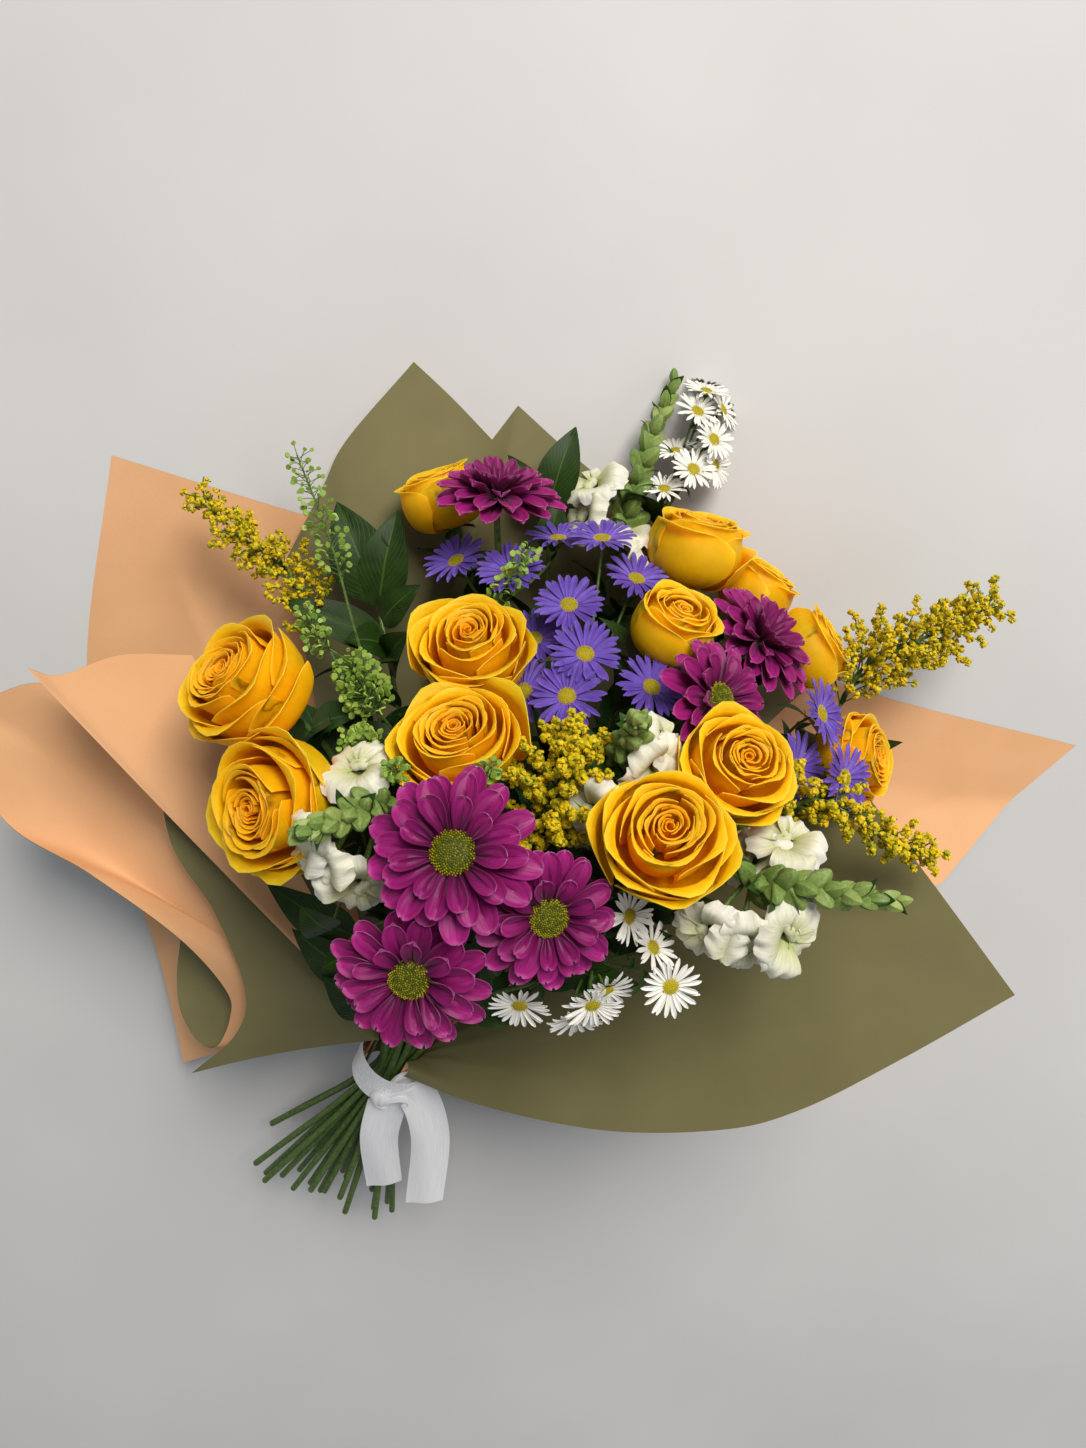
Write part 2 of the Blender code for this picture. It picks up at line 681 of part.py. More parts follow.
# Leaves
def leaf(start, tip, width, up):
    """A pointed, arched leaf with its sides folded up along the midrib."""
    along = tip - start
    length = along.length
    across = along.cross(up).normalized()
    rise = across.cross(along).normalized()

    def place(u, v):
        t = 2 * u - 1
        half = 0.5 * width * math.sin(math.pi * (0.06 + 0.90 * v) ** 0.8)
        arch = 0.10 * length * math.sin(math.pi * v)
        fold = 0.72 * width * abs(t) * v * (1 - v)
        return start + along * v + across * half * t + rise * (arch + fold)
    return shell(2, 3, place, LEAF_BLADE * MM)


# The bundle
def slot_places(count):
    """The places nearest the middle of a honeycomb, one for each stem."""
    places = []
    for row in range(-4, 5):
        for column in range(-4, 5):
            a = (column + row * 0.5) * SLOT_SPACING
            b = row * SLOT_SPACING * math.sqrt(3) / 2
            places.append((math.hypot(a, b), a, b))
    places.sort(key=lambda p: (round(p[0], 3), p[1], p[2]))
    return [(a, b) for _, a, b in places[:count]]


def share_slots(tops):
    """Gives each stem a slot so that stems keep their order round the axis and don't cross."""
    names = list(tops)
    wanted = []
    for name in names:
        offset = tops[name][0] - NECK
        reach = max(offset.dot(AXIS), 0.05)
        wanted.append((offset.dot(SIDE) / reach * 30, offset.dot(RISE) / reach * 30))
    slots = slot_places(len(names))
    order = list(range(len(names)))

    def cost(i, k):
        return (wanted[i][0] - slots[k][0]) ** 2 + (wanted[i][1] - slots[k][1]) ** 2
    changed = True
    while changed:
        changed = False
        for i in range(len(names)):
            for j in range(i + 1, len(names)):
                now = cost(i, order[i]) + cost(j, order[j])
                then = cost(i, order[j]) + cost(j, order[i])
                if then < now - 1e-9:
                    order[i], order[j] = order[j], order[i]
                    changed = True
    return {name: slots[order[i]] for i, name in enumerate(names)}


def stem_path(base, backward, slot, tail_length, bow):
    """From a bloom's base down to its slot in the tie, through it, and out to its cut end."""
    a, b = slot[0] * MM, slot[1] * MM
    across = SIDE * a + RISE * b
    top = NECK + AXIS * NECK_HALF_LENGTH * MM + across
    bottom = NECK - AXIS * NECK_HALF_LENGTH * MM + across
    reach = (base - top).length
    knots = [base, base + backward * reach * 0.3 + bow, top + AXIS * reach * 0.3 + bow * 0.4, top]
    points = [bezier(knots, t) for t in (0, 0.2, 0.55, 1)]
    upright = TAIL_SPREAD_UP if b > 0 else TAIL_SPREAD_DOWN
    end = NECK - AXIS * tail_length + SIDE * a * TAIL_SPREAD_ACROSS + RISE * b * upright
    end.z = max(end.z, STEM_RADIUS * MM)
    points += [bottom, end]
    return points


def stem_mesh(base, backward, slot, top_radius, tail_length, skip=()):
    """A stem from its bloom to its cut end, bowed where the straight way isn't clear, and its points."""
    best = None
    for bow in bows():
        points = stem_path(base, backward, slot, tail_length, bow)
        radii = [top_radius * MM] * 2 + [min(STEM_RADIUS, top_radius + 0.3) * MM]
        radii += [STEM_RADIUS * MM] * 3
        mesh = tube(points, radii)
        met = crossings(mesh, skip)
        if best is None or met < best[0]:
            best = (met, mesh, points)
        if met == 0:
            break
    return best[1], best[2]


def branch_mesh(fork, end, forward, skip):
    """A branch from a fork to its bloom, bowed sideways where the straight way isn't clear."""
    best = None
    for bow in bows():
        knots = [fork, fork.lerp(end, 0.5) + bow, end - forward * 25 * MM, end]
        points = [bezier(knots, t) for t in (0, 0.35, 0.7)] + [end - forward * 3 * MM, end]
        mesh = tube(points, [BRANCH_RADIUS * MM] * 5)
        met = crossings(mesh, skip)
        if best is None or met < best[0]:
            best = (met, mesh)
        if met == 0:
            break
    return best[1]


def rose_extras(points, base, forward, leaves, skip):
    """The calyx, and a leaf lower down where there is room."""
    pieces = [placed(cone(*CALYX, 5), frame_at(base - forward * (CALYX[2] + 0.4 * MM), forward))]
    for index in range(leaves):
        start = points[1].lerp(points[2], 0.3 + 0.5 * index)
        along = (points[1] - points[2]).normalized()
        for turn in range(6):
            frame = frame_at(start, along, turn * 60 + index * 150)
            out = (frame.to_3x3() @ Vector((1, 0, 0.9))).normalized()
            blade = leaf(start, start + out * ROSE_LEAF[0], ROSE_LEAF[1], along)
            if not crossings(blade, skip):
                pieces.append(blade)
                break
    return pieces


# Paper
def sheet_mesh(data):
    steps = data["steps"]
    rim = []
    for run, count in zip(data["rim"], steps):
        points = [spot(p) for p in run]
        rim += [through(points, i / count) for i in range(count)]
    rim.append(spot(data["rim"][-1][-1]))
    columns = len(rim) - 1
    first_layer, last_layer = data["layer"]
    low = PAPER_THICKNESS / 2 * MM
    rows = data.get("rows", ROW_PLACES)

    def place(u, v):
        index = round(u * columns)
        edge = rim[index]
        layer = first_layer + (last_layer - first_layer) * u
        offset = edge - NECK
        outward = (offset - AXIS * offset.dot(AXIS)).normalized()
        ring = outward * (NECK_RADIUS + LAYER_STEP * layer) * MM
        row = round(v * len(rows))
        if row == 0:
            return NECK - AXIS * PAPER_BELOW_TIE * MM + ring
        mouth = NECK + AXIS * (PAPER_MOUTH - MOUTH_STEP * layer) * MM + ring
        t = rows[row - 1]
        point = mouth.lerp(edge, t)
        point += (outward * data["belly"] * MM + AXIS * 0.004) * math.sin(math.pi * t)
        point.z = max(point.z - data.get("lie", 0.0) * t * MM, low)
        return point
    return shell(columns, len(rows), place, PAPER_THICKNESS * MM)


# Ribbon
def ribbon_pieces():
    radius = (NECK_RADIUS + LAYER_STEP * BAND_LAYER) * MM
    across = Matrix((SIDE, RISE, AXIS)).transposed().to_4x4()
    frame = Matrix.Translation(NECK) @ across

    def wrap(u, v):
        angle = 2 * math.pi * u
        height = (v - 0.5) * BAND_LENGTH * MM
        return frame @ Vector((radius * math.cos(angle), radius * math.sin(angle), height))
    bm = bmesh.new()
    bm.from_mesh(surface(16, 1, wrap))
    bmesh.ops.remove_doubles(bm, verts=bm.verts[:], dist=0.00001)
    pieces = [thickened(mesh_of(bm), RIBBON_THICKNESS * MM)]
    front = turned((0, -0.35, 1))
    front = (front - AXIS * front.dot(AXIS)).normalized()
    knot = NECK - AXIS * 5 * MM + front * (radius + 2 * MM)
    pieces.append(ball(6 * MM, 6, 4, frame_at(knot, front) @ Matrix.Diagonal((1.1, 1.1, 0.6, 1))))
    for tail in RIBBON_TAILS:
        points = [knot] + [spot(p) for p in tail[1:]]

        def hang(u, v):
            centre = through(points, v)
            along = (through(points, min(v + 0.02, 1)) - through(points, max(v - 0.02, 0))).normalized()
            side = along.cross(turned((0, 0, 1))).normalized()
            width = RIBBON_WIDTH * MM * (0.35 + 0.65 * min(1, v * 3))
            return centre + side * (u - 0.5) * width + along * (u - 0.5) * 0.010 * v
        pieces.append(shell(2, 5, hang, RIBBON_THICKNESS * MM))
    return pieces


def build():
    global main_collection, work_collection
    clear_scene()
    main_collection = bpy.data.collections.new("mixed_flower_bouquet")
    work_collection = bpy.data.collections.new("work")
    bpy.context.scene.collection.children.link(main_collection)
    bpy.context.scene.collection.children.link(work_collection)
    paints = {name: make_material(name) for name in COLOURS}
    rng = random.Random(SEED)

    rose_bases = build_roses(paints["rose_petal"])
    mum_bases = build_mums(paints["mum_petal"], paints["mum_disc"])
    for name, data in SHEETS.items():
        finish(name, sheet_mesh(data), paints["paper_" + data["face"]])
    finish("ribbon", united(ribbon_pieces()), paints["satin_white"])

    tops = {name: (base, -forward) for name, (base, forward) in rose_bases.items()}
    mum_groups = {"mum_stems_1": ("mum_1", "mum_2", "mum_3"), "mum_stems_2": ("mum_4", "mum_5", "mum_6")}
    for name, members in mum_groups.items():
        middle = sum((mum_bases[m][0] for m in members), Vector()) / 3
        fork = middle.lerp(NECK, FORK_PLACE)
        tops[name] = (fork, (NECK - fork).normalized())
    for table in (ASTERS, DAISIES):
        for name, data in table.items():
            base = spot(data["base"])
            tops[name] = (base, (NECK - base).normalized())
    for table in (SNAPDRAGONS, RUSCUS):
        for name, data in table.items():
            spine = [spot(p) for p in data["spine"]]
            tops[name] = (spine[0], (spine[0] - spine[1]).normalized())
    for table in (GOLDENRODS, PEPPER_GRASS):
        for name, seen in table.items():
            spine = [spot(p) for p in seen]
            tops[name] = (spine[0], (spine[0] - spine[1]).normalized())
    slots = share_slots(tops)
    tails = {name: rng.uniform(*TAIL_LENGTHS) * MM for name in tops}

    for name, (base, forward) in rose_bases.items():
        bloom = name + "_bloom"
        start = base - forward * 4 * MM
        mesh, points = stem_mesh(start, -forward, slots[name], TOP_RADII["rose"], tails[name], (bloom,))
        pieces = [mesh] + rose_extras(points, base, forward, 1 if name in LEAFY_ROSES else 0, (bloom,))
        finish(name + "_stem", united(pieces), paints["stem_green"])
    for name, members in mum_groups.items():
        fork, backward = tops[name]
        mesh, _ = stem_mesh(fork, backward, slots[name], TOP_RADII["mum"], tails[name])
        pieces = [mesh]
        for member in members:
            base, forward = mum_bases[member]
            end = base - forward * 0.5 * MM
            pieces.append(branch_mesh(fork + (NECK - fork) * 0.03, end, forward, (member + "_bloom",)))
        finish(name, united(pieces), paints["stem_green"])
    for name, data in SNAPDRAGONS.items():
        base, backward = tops[name]
        mesh, _ = stem_mesh(base, backward, slots[name], TOP_RADII["snapdragon"], tails[name])
        finish(name, united([mesh] + snapdragon_pieces(data)), paints["white_petal"])
    for name, data in ASTERS.items():
        base, backward = tops[name]
        mesh, points = stem_mesh(base, backward, slots[name], TOP_RADII["aster"], tails[name])
        fork = points[0].lerp(points[1], 0.1)
        heads = spray_pieces(data["heads"], fork, ASTER_DIAMETER, ASTER_RAYS, ASTER_TWIG * MM)
        finish(name, united([mesh] + heads), paints["aster_ray"])
    for name, data in DAISIES.items():
        base, backward = tops[name]
        mesh, points = stem_mesh(base, backward, slots[name], TOP_RADII["daisy"], tails[name])
        fork = points[0].lerp(points[1], 0.1)
        heads = spray_pieces(data["heads"], fork, data["diameter"], DAISY_RAYS, DAISY_TWIG * MM)
        finish(name, united([mesh] + heads), paints["daisy_ray"])
    for name, data in RUSCUS.items():
        base, backward = tops[name]
        mesh, _ = stem_mesh(base, backward, slots[name], TOP_RADII["ruscus"], tails[name])
        line = [spot(p) for p in data["spine"]]
        pieces = [mesh, tube(line, [1.5 * MM] * 4, 0)]
        for place, tip, width in data["leaves"]:
            pieces.append(leaf(along_line(line, place), spot(tip), width * MM, turned((0, 0.3, 1))))
        finish(name, united(pieces), paints["leaf_green"])
    for name, seen in GOLDENRODS.items():
        base, backward = tops[name]
        mesh, _ = stem_mesh(base, backward, slots[name], TOP_RADII["goldenrod"], tails[name])
        pieces = goldenrod_pieces(seen, GOLDENROD_REACH[name], rng)
        finish(name, united([mesh] + pieces), paints["goldenrod_floret"])
    for name, seen in PEPPER_GRASS.items():
        base, backward = tops[name]
        mesh, _ = stem_mesh(base, backward, slots[name], TOP_RADII["pepper"], tails[name])
        pieces = pepper_pieces(seen, rng)
        finish(name, united([mesh] + pieces), paints["pod_green"])

    bpy.context.scene.collection.children.unlink(work_collection)
    bpy.data.collections.remove(work_collection)


build()
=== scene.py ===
import math
import random

import bpy
from mathutils import Matrix, Vector, noise


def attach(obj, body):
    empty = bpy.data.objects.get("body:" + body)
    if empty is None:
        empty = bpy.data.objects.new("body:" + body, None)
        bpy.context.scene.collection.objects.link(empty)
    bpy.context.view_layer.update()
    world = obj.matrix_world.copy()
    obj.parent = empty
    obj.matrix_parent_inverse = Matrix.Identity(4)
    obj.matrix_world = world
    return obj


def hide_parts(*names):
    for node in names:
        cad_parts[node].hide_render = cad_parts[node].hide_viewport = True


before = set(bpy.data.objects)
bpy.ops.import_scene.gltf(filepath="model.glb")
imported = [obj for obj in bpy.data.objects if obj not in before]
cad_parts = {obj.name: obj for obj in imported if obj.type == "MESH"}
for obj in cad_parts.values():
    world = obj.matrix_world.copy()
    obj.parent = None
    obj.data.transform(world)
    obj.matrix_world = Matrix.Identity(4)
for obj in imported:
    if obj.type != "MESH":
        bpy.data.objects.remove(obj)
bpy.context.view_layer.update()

mm = 0.001
goldenAngle = 137.5  # degrees from one leaf, bud or shoot on a stem to the next
discAngle = 137.508  # the same for a disc's florets, finer because they are packed close
rng = random.Random(23)

viewSettings = {
    "eye": 520.0,  # millimetres from the plane of the front flowers
    "focal": 1094.0,  # pixels
    "centre": (543.0, 724.0),
    "pictureHeight": 1448.0,
    "tilt": math.radians(20.0),
    "shift": (-19.0, 168.0, 232.0),
    "sensor": 36.0,
}


def turned(vector):
    c, s = math.cos(viewSettings["tilt"]), math.sin(viewSettings["tilt"])
    return Vector((vector[0], c * vector[1] + s * vector[2], -s * vector[1] + c * vector[2]))


def spot(seen):
    # the point that is seen at picture x, y and this depth
    scale = (viewSettings["eye"] - seen[2]) / viewSettings["focal"]
    across = (seen[0] - viewSettings["centre"][0]) * scale
    up = (viewSettings["centre"][1] - seen[1]) * scale
    return (turned((across, up, seen[2])) + Vector(viewSettings["shift"])) * mm


def facing(lean, toward):
    lean, toward = math.radians(lean), math.radians(toward)
    flat = math.sin(lean)
    return turned((flat * math.cos(toward), flat * math.sin(toward), math.cos(lean)))


def frameAt(origin, forward, spin=0.0, size=(1, 1, 1)):
    # Z runs along forward, and spin turns about it in degrees
    turn = forward.to_track_quat("Z", "Y").to_matrix().to_4x4()
    return (Matrix.Translation(origin) @ turn @ Matrix.Rotation(math.radians(spin), 4, "Z")
            @ Matrix.Diagonal((*size, 1)))


def aside(place, along, spin, rise):
    # the direction that leaves a stem to one side; rise is its part along the stem
    return (frameAt(place, along, spin).to_3x3() @ Vector((1, 0, rise))).normalized()


def bezier(points, t):
    while len(points) > 1:
        points = [a.lerp(b, t) for a, b in zip(points, points[1:])]
    return points[0]


def through(points, t):
    # a smooth curve through all the points, t from 0 to 1
    spans = len(points) - 1
    place = min(max(t, 0.0) * spans, spans - 1e-9)
    k = int(place)
    f = place - k
    p1, p2 = points[k], points[k + 1]
    p0 = points[k - 1] if k > 0 else p1 * 2 - p2
    p3 = points[k + 2] if k + 2 < len(points) else p2 * 2 - p1
    return (p1 * 2 + (p2 - p0) * f + (p0 * 2 - p1 * 5 + p2 * 4 - p3) * f ** 2
            + (p1 * 3 - p0 - p2 * 3 + p3) * f ** 3) * 0.5


def eased(value, low, high):
    t = min(max((value - low) / (high - low), 0.0), 1.0)
    return t * t * (3 - 2 * t)


def levelAt(stops, t):
    # reads a height off a list of (place, height), with straight lines between them
    for (a, low), (b, high) in zip(stops, stops[1:]):
        if t <= b:
            return low + (high - low) * max(t - a, 0.0) / (b - a)
    return stops[-1][1]


bundleAxis = turned((0.397, 0.744, 0.538)).normalized()
bundleSide = bundleAxis.cross(Vector((0, 0, 1))).normalized()
bundleRise = bundleSide.cross(bundleAxis).normalized()
neck = spot((392, 1062, -250))

# Camera and lights
def linked(name, data):
    item = bpy.data.objects.new(name, data)
    bpy.context.scene.collection.objects.link(item)
    return item


camera = bpy.data.cameras.new("camera")
camera.sensor_fit = "VERTICAL"
camera.sensor_width = camera.sensor_height = viewSettings["sensor"]
camera.lens = viewSettings["focal"] / viewSettings["pictureHeight"] * viewSettings["sensor"]
cameraObject = linked("camera", camera)
cameraObject.rotation_euler = (-viewSettings["tilt"], 0, 0)
cameraObject.location = spot((*viewSettings["centre"], viewSettings["eye"] - 0.001))
bpy.context.scene.camera = cameraObject

lightSettings = {
    # name: (place, size, power, colour)
    "above": ((0.80, 2.15, 2.10), 1.4, 114.0, "FFF8EE"),
    "left": ((-1.5, 0.1, 1.5), 1.6, 3.0, "F6F8FF"),
    "right": ((1.5, -0.5, 1.5), 1.6, 5.0, "F3F6FF"),
}
lightTarget = Vector((-0.02, 0.08, 0.1))
worldSettings = {"colour": "DFE3E8", "strength": 0.26}


def linear(hexColour):
    # sRGB hex to the linear values that the shaders take
    parts = [int(hexColour[i:i + 2], 16) / 255 for i in (0, 2, 4)]
    return tuple(c / 12.92 if c <= 0.04045 else ((c + 0.055) / 1.055) ** 2.4 for c in parts) + (1.0,)


for lightName, (place, size, power, colour) in lightSettings.items():
    lamp = bpy.data.lights.new(lightName, "AREA")
    lamp.size, lamp.energy, lamp.color = size, power, linear(colour)[:3]
    lampObject = linked(lightName, lamp)
    lampObject.location = place
    lampObject.rotation_euler = (lightTarget - Vector(place)).to_track_quat("-Z", "Y").to_euler()
world = bpy.data.worlds.new("studio")
bpy.context.scene.world = world
world.use_nodes = True
sky = world.node_tree.nodes["Background"].inputs
sky["Color"].default_value = linear(worldSettings["colour"])
sky["Strength"].default_value = worldSettings["strength"]
bpy.context.scene.view_settings.view_transform = "Standard"


# Materials
def setInputs(tree, node, inputs):
    # each input gets a value, or a link where it is given a socket, or a node, which stands for its first one
    for key, value in inputs.items():
        if isinstance(value, bpy.types.Node):
            value = value.outputs[0]
        if isinstance(value, bpy.types.NodeSocket):
            tree.links.new(value, node.inputs[key])
        else:
            node.inputs[key].default_value = value


def addNode(tree, kind, inputs=None, stops=None, **settings):
    # one shader node with its settings, its colour stops and its inputs
    node = tree.nodes.new("ShaderNode" + kind)
    for key, value in settings.items():
        setattr(node, key, value)
    if stops:
        while len(node.color_ramp.elements) < len(stops):
            node.color_ramp.elements.new(0.5)
        for element, (position, colour) in zip(node.color_ramp.elements, stops):
            element.position = position
            element.color = linear(colour)
    setInputs(tree, node, inputs or {})
    return node


def newMaterial(name):
    material = bpy.data.materials.new(name)
    material.use_nodes = True
    return material, material.node_tree, material.node_tree.nodes["Principled BSDF"]


def petalMaterial(name, stops, deep, rib, veinDepth, roughness, glow, sheen=0.0):
    # Petal skin: a matt velvet of swollen cells, so a soft wide highlight, and light passes through it.
    # The colour runs from foot to rim, veins run lengthwise, and each petal has its own tint.
    material, tree, shader = newMaterial(name)
    uv = addNode(tree, "UVMap", uv_map="UVMap")
    split = addNode(tree, "SeparateXYZ", {0: uv})
    ramp = addNode(tree, "ValToRGB", {0: split.outputs[1]}, stops)
    stretch = addNode(tree, "Mapping", {0: uv, "Scale": (rib, 2.2, 1.0)})
    veins = addNode(tree, "TexNoise", {"Vector": stretch, "Scale": 1.0, "Detail": 3.0})
    place = addNode(tree, "TexCoord")
    cloud = addNode(tree, "TexNoise", {"Vector": place.outputs["Object"], "Scale": 90.0,  # 11 mm clouds
                                       "Detail": 2.0})
    tint = addNode(tree, "Attribute", attribute_name="tint")
    deeper = addNode(tree, "Mix", {0: tint.outputs["Fac"], 6: ramp, 7: linear(deep)},
                     data_type="RGBA")
    veinTone = addNode(tree, "MapRange", {0: veins, 1: 0.3, 2: 0.7, 3: 1.0 - veinDepth,
                                          4: 1.0 + veinDepth * 0.5})
    cloudTone = addNode(tree, "MapRange", {0: cloud, 1: 0.3, 2: 0.7, 3: 0.93, 4: 1.05})
    tone = addNode(tree, "Math", {0: veinTone, 1: cloudTone}, operation="MULTIPLY")
    colour = addNode(tree, "VectorMath", {0: deeper.outputs[2], 3: tone}, operation="SCALE")
    bump = addNode(tree, "Bump", {"Height": veins, "Strength": 0.35, "Distance": 0.0006})
    rough = addNode(tree, "MapRange", {0: cloud, 3: roughness - 0.06, 4: roughness + 0.08})
    setInputs(tree, shader, {
        "Base Color": colour, "Normal": bump, "Roughness": rough,
        "Subsurface Weight": glow, "Subsurface Radius": (1.0, 0.8, 0.4), "Subsurface Scale": 0.004,
        "Specular IOR Level": 0.2, "Sheen Weight": sheen, "Sheen Roughness": 0.4,
    })
    return material


def grainMaterial(name, low, high, roughness, grain, depth, glow=0.0, tintTo=None):
    # Stems, discs and pods: two mixed tones in grains of a real size in millimetres
    material, tree, shader = newMaterial(name)
    place = addNode(tree, "TexCoord")
    speck = addNode(tree, "TexNoise", {"Vector": place.outputs["Object"], "Scale": 1.0 / (grain * mm),
                                       "Detail": 3.0, "Roughness": 0.6})
    result = addNode(tree, "ValToRGB", {0: speck}, [(0.32, low), (0.68, high)])
    if tintTo:
        tint = addNode(tree, "Attribute", attribute_name="tint")
        result = addNode(tree, "Mix", {0: tint.outputs["Fac"], 6: result, 7: linear(tintTo)},
                         data_type="RGBA").outputs[2]
    bump = addNode(tree, "Bump", {"Height": speck, "Strength": 0.5, "Distance": depth * mm})
    rough = addNode(tree, "MapRange", {0: speck, 3: roughness - 0.08, 4: roughness + 0.1})
    setInputs(tree, shader, {
        "Base Color": result, "Normal": bump, "Roughness": rough,
        "Subsurface Weight": glow, "Subsurface Radius": (0.5, 0.8, 0.2), "Subsurface Scale": 0.002,
        "Specular IOR Level": 0.3,
    })
    return material


def leafMaterial(name, dark, light, vein, roughness):
    # Leaf: a waxed skin with paler veins that run lengthwise and leave the midrib aslant
    material, tree, shader = newMaterial(name)
    uv = addNode(tree, "UVMap", uv_map="UVMap")
    split = addNode(tree, "SeparateXYZ", {0: uv})
    centred = addNode(tree, "Math", {0: split, 1: 0.5}, operation="SUBTRACT")
    offMiddle = addNode(tree, "Math", {0: centred}, operation="ABSOLUTE")
    midrib = addNode(tree, "MapRange", {0: offMiddle, 1: 0.0, 2: 0.035, 3: 1.0, 4: 0.0})
    aslant = addNode(tree, "Math", {0: offMiddle, 1: -0.9, 2: split.outputs[1]},
                     operation="MULTIPLY_ADD")
    waves = addNode(tree, "Math", {0: aslant, 1: 70.0}, operation="MULTIPLY")
    ripple = addNode(tree, "Math", {0: waves}, operation="SINE")
    veins = addNode(tree, "MapRange", {0: ripple, 1: 0.8, 2: 1.0, 3: 0.0, 4: 0.35})
    both = addNode(tree, "Math", {0: midrib, 1: veins}, operation="MAXIMUM")
    place = addNode(tree, "TexCoord")
    cloud = addNode(tree, "TexNoise", {"Vector": place.outputs["Object"], "Scale": 120.0,  # 8 mm clouds
                                       "Detail": 3.0})
    ramp = addNode(tree, "ValToRGB", {0: cloud}, [(0.3, dark), (0.7, light)])
    tint = addNode(tree, "Attribute", attribute_name="tint")
    blade = addNode(tree, "Mix", {0: tint.outputs["Fac"], 6: ramp, 7: linear(light)},
                    data_type="RGBA")
    colour = addNode(tree, "Mix", {0: both, 6: blade.outputs[2], 7: linear(vein)},
                     data_type="RGBA")
    bump = addNode(tree, "Bump", {"Height": both, "Strength": 0.5, "Distance": 0.0005},
                   invert=True)
    rough = addNode(tree, "MapRange", {0: cloud, 3: roughness - 0.05, 4: roughness + 0.12})
    setInputs(tree, shader, {
        "Base Color": colour.outputs[2], "Normal": bump, "Roughness": rough,
        "Subsurface Weight": 0.08, "Subsurface Radius": (0.4, 0.8, 0.1), "Subsurface Scale": 0.002,
        "Specular IOR Level": 0.24,
    })
    return material


def paperMaterial(name, base, warm):
    # Coated wrapping paper, matt: wide felt marks and a very faint tooth
    material, tree, shader = newMaterial(name)
    place = addNode(tree, "TexCoord")
    wide = addNode(tree, "TexNoise", {"Vector": place.outputs["Object"], "Scale": 14.0,  # 70 mm marks
                                      "Detail": 3.0})
    fine = addNode(tree, "TexNoise", {"Vector": place.outputs["Object"], "Scale": 1800.0,  # 0.6 mm tooth
                                      "Detail": 2.0})
    ramp = addNode(tree, "ValToRGB", {0: wide}, [(0.3, base), (0.72, warm)])
    tooth = addNode(tree, "MapRange", {0: fine, 1: 0.3, 2: 0.7, 3: 0.965, 4: 1.03})
    colour = addNode(tree, "VectorMath", {0: ramp, 3: tooth}, operation="SCALE")
    bump = addNode(tree, "Bump", {"Height": fine, "Strength": 0.18, "Distance": 0.0002})
    setInputs(tree, shader, {"Base Color": colour, "Normal": bump, "Roughness": 0.62,
                             "Specular IOR Level": 0.3})
    return material


def satinMaterial(name):
    # Polyester satin, woven: long floats shine along the ribbon, so the highlight is drawn out across it
    material, tree, shader = newMaterial(name)
    uv = addNode(tree, "UVMap", uv_map="UVMap")
    threads = addNode(tree, "Mapping", {0: uv, "Scale": (160.0, 6.0, 1.0)})
    weave = addNode(tree, "TexNoise", {"Vector": threads, "Scale": 1.0, "Detail": 2.0})
    ramp = addNode(tree, "ValToRGB", {0: weave}, [(0.3, "D9DCE2"), (0.7, "F4F5F8")])
    bump = addNode(tree, "Bump", {"Height": weave, "Strength": 0.25, "Distance": 0.0001})
    setInputs(tree, shader, {"Base Color": ramp, "Normal": bump, "Roughness": 0.36,
                             "Anisotropic": 0.55, "Sheen Weight": 0.3})
    return material


# the last stop makes the very rim paler: partly the petals' own paler edge, partly a painted highlight on the
# rolled-back rims
rosePetalSkin = petalMaterial("rose petal skin, golden yellow",
                              [(0.0, "F09600"), (0.3, "FDA400"), (0.9, "FFB206"), (1.0, "FFC628")],
                              "FF970C", 14.0, 0.05, 0.5, 0.75)
# the dark first stops are painted shade at the foot of each petal, where the petals crowd round the disc
mumPetalSkin = petalMaterial("chrysanthemum petal skin, magenta",
                             [(0.0, "4A0832"), (0.25, "740E56"), (0.8, "9E1C76"), (1.0, "BC58A0")],
                             "4C0836", 9.0, 0.30, 0.46, 0.12, 0.1)
asterRaySkin = petalMaterial("aster ray skin, violet",
                             [(0.0, "CBC0E8"), (0.16, "7A5EC2"), (0.7, "6246A6"), (1.0, "7A60BE")],
                             "46308C", 6.0, 0.20, 0.5, 0.15)
daisyRaySkin = petalMaterial("daisy ray skin, white",
                             [(0.0, "D8DCB8"), (0.25, "EFEFE4"), (1.0, "F7F6F0")],
                             "D9D8CC", 5.0, 0.08, 0.5, 0.2)
whitePetalSkin = petalMaterial("snapdragon petal skin, cream white",
                               [(0.0, "9CA85E"), (0.22, "C6C89C"), (0.6, "D9D7C1"), (1.0, "E6E4D6")],
                               "C6C89A", 16.0, 0.16, 0.6, 0.3)
mumDiscSkin = grainMaterial("chrysanthemum disc, packed florets", "333B00", "525A02", 0.6, 1.0, 0.3, 0.0,
                            "AAA20C")
asterDiscSkin = grainMaterial("aster disc, yellow florets", "B79A10", "DDBE20", 0.6, 0.7, 0.2, 0.0, "7E861C")
goldenrodSkin = grainMaterial("goldenrod floret, yellow", "B69E08", "ECCB0C", 0.6, 0.8, 0.2, 0.15, "8A9616")
podSkin = grainMaterial("pepper-grass pod, fresh green", "4E7424", "769C34", 0.5, 1.2, 0.2, 0.15, "9CB654")
budSkin = grainMaterial("snapdragon bud, pale green", "3C5A22", "66853A", 0.45, 1.5, 0.2, 0.15, "A6B468")
stemSkin = grainMaterial("cut stem, waxy green", "3C5224", "5C7738", 0.45, 2.5, 0.2, 0.05)
stemCut = grainMaterial("cut stem end, pale pith", "9AA56C", "C2C795", 0.7, 0.8, 0.2)
ruscusSkin = leafMaterial("ruscus leaf, waxed dark green", "132505", "203A08", "3A5C1A", 0.46)
roseLeafSkin = leafMaterial("rose leaf, deep green", "14280B", "254716", "3E652E", 0.46)
peachPaper = paperMaterial("wrapping paper, peach side, matt coated", "D8A577", "E1AF82")
olivePaper = paperMaterial("wrapping paper, olive side, matt coated", "6C6744", "76714C")
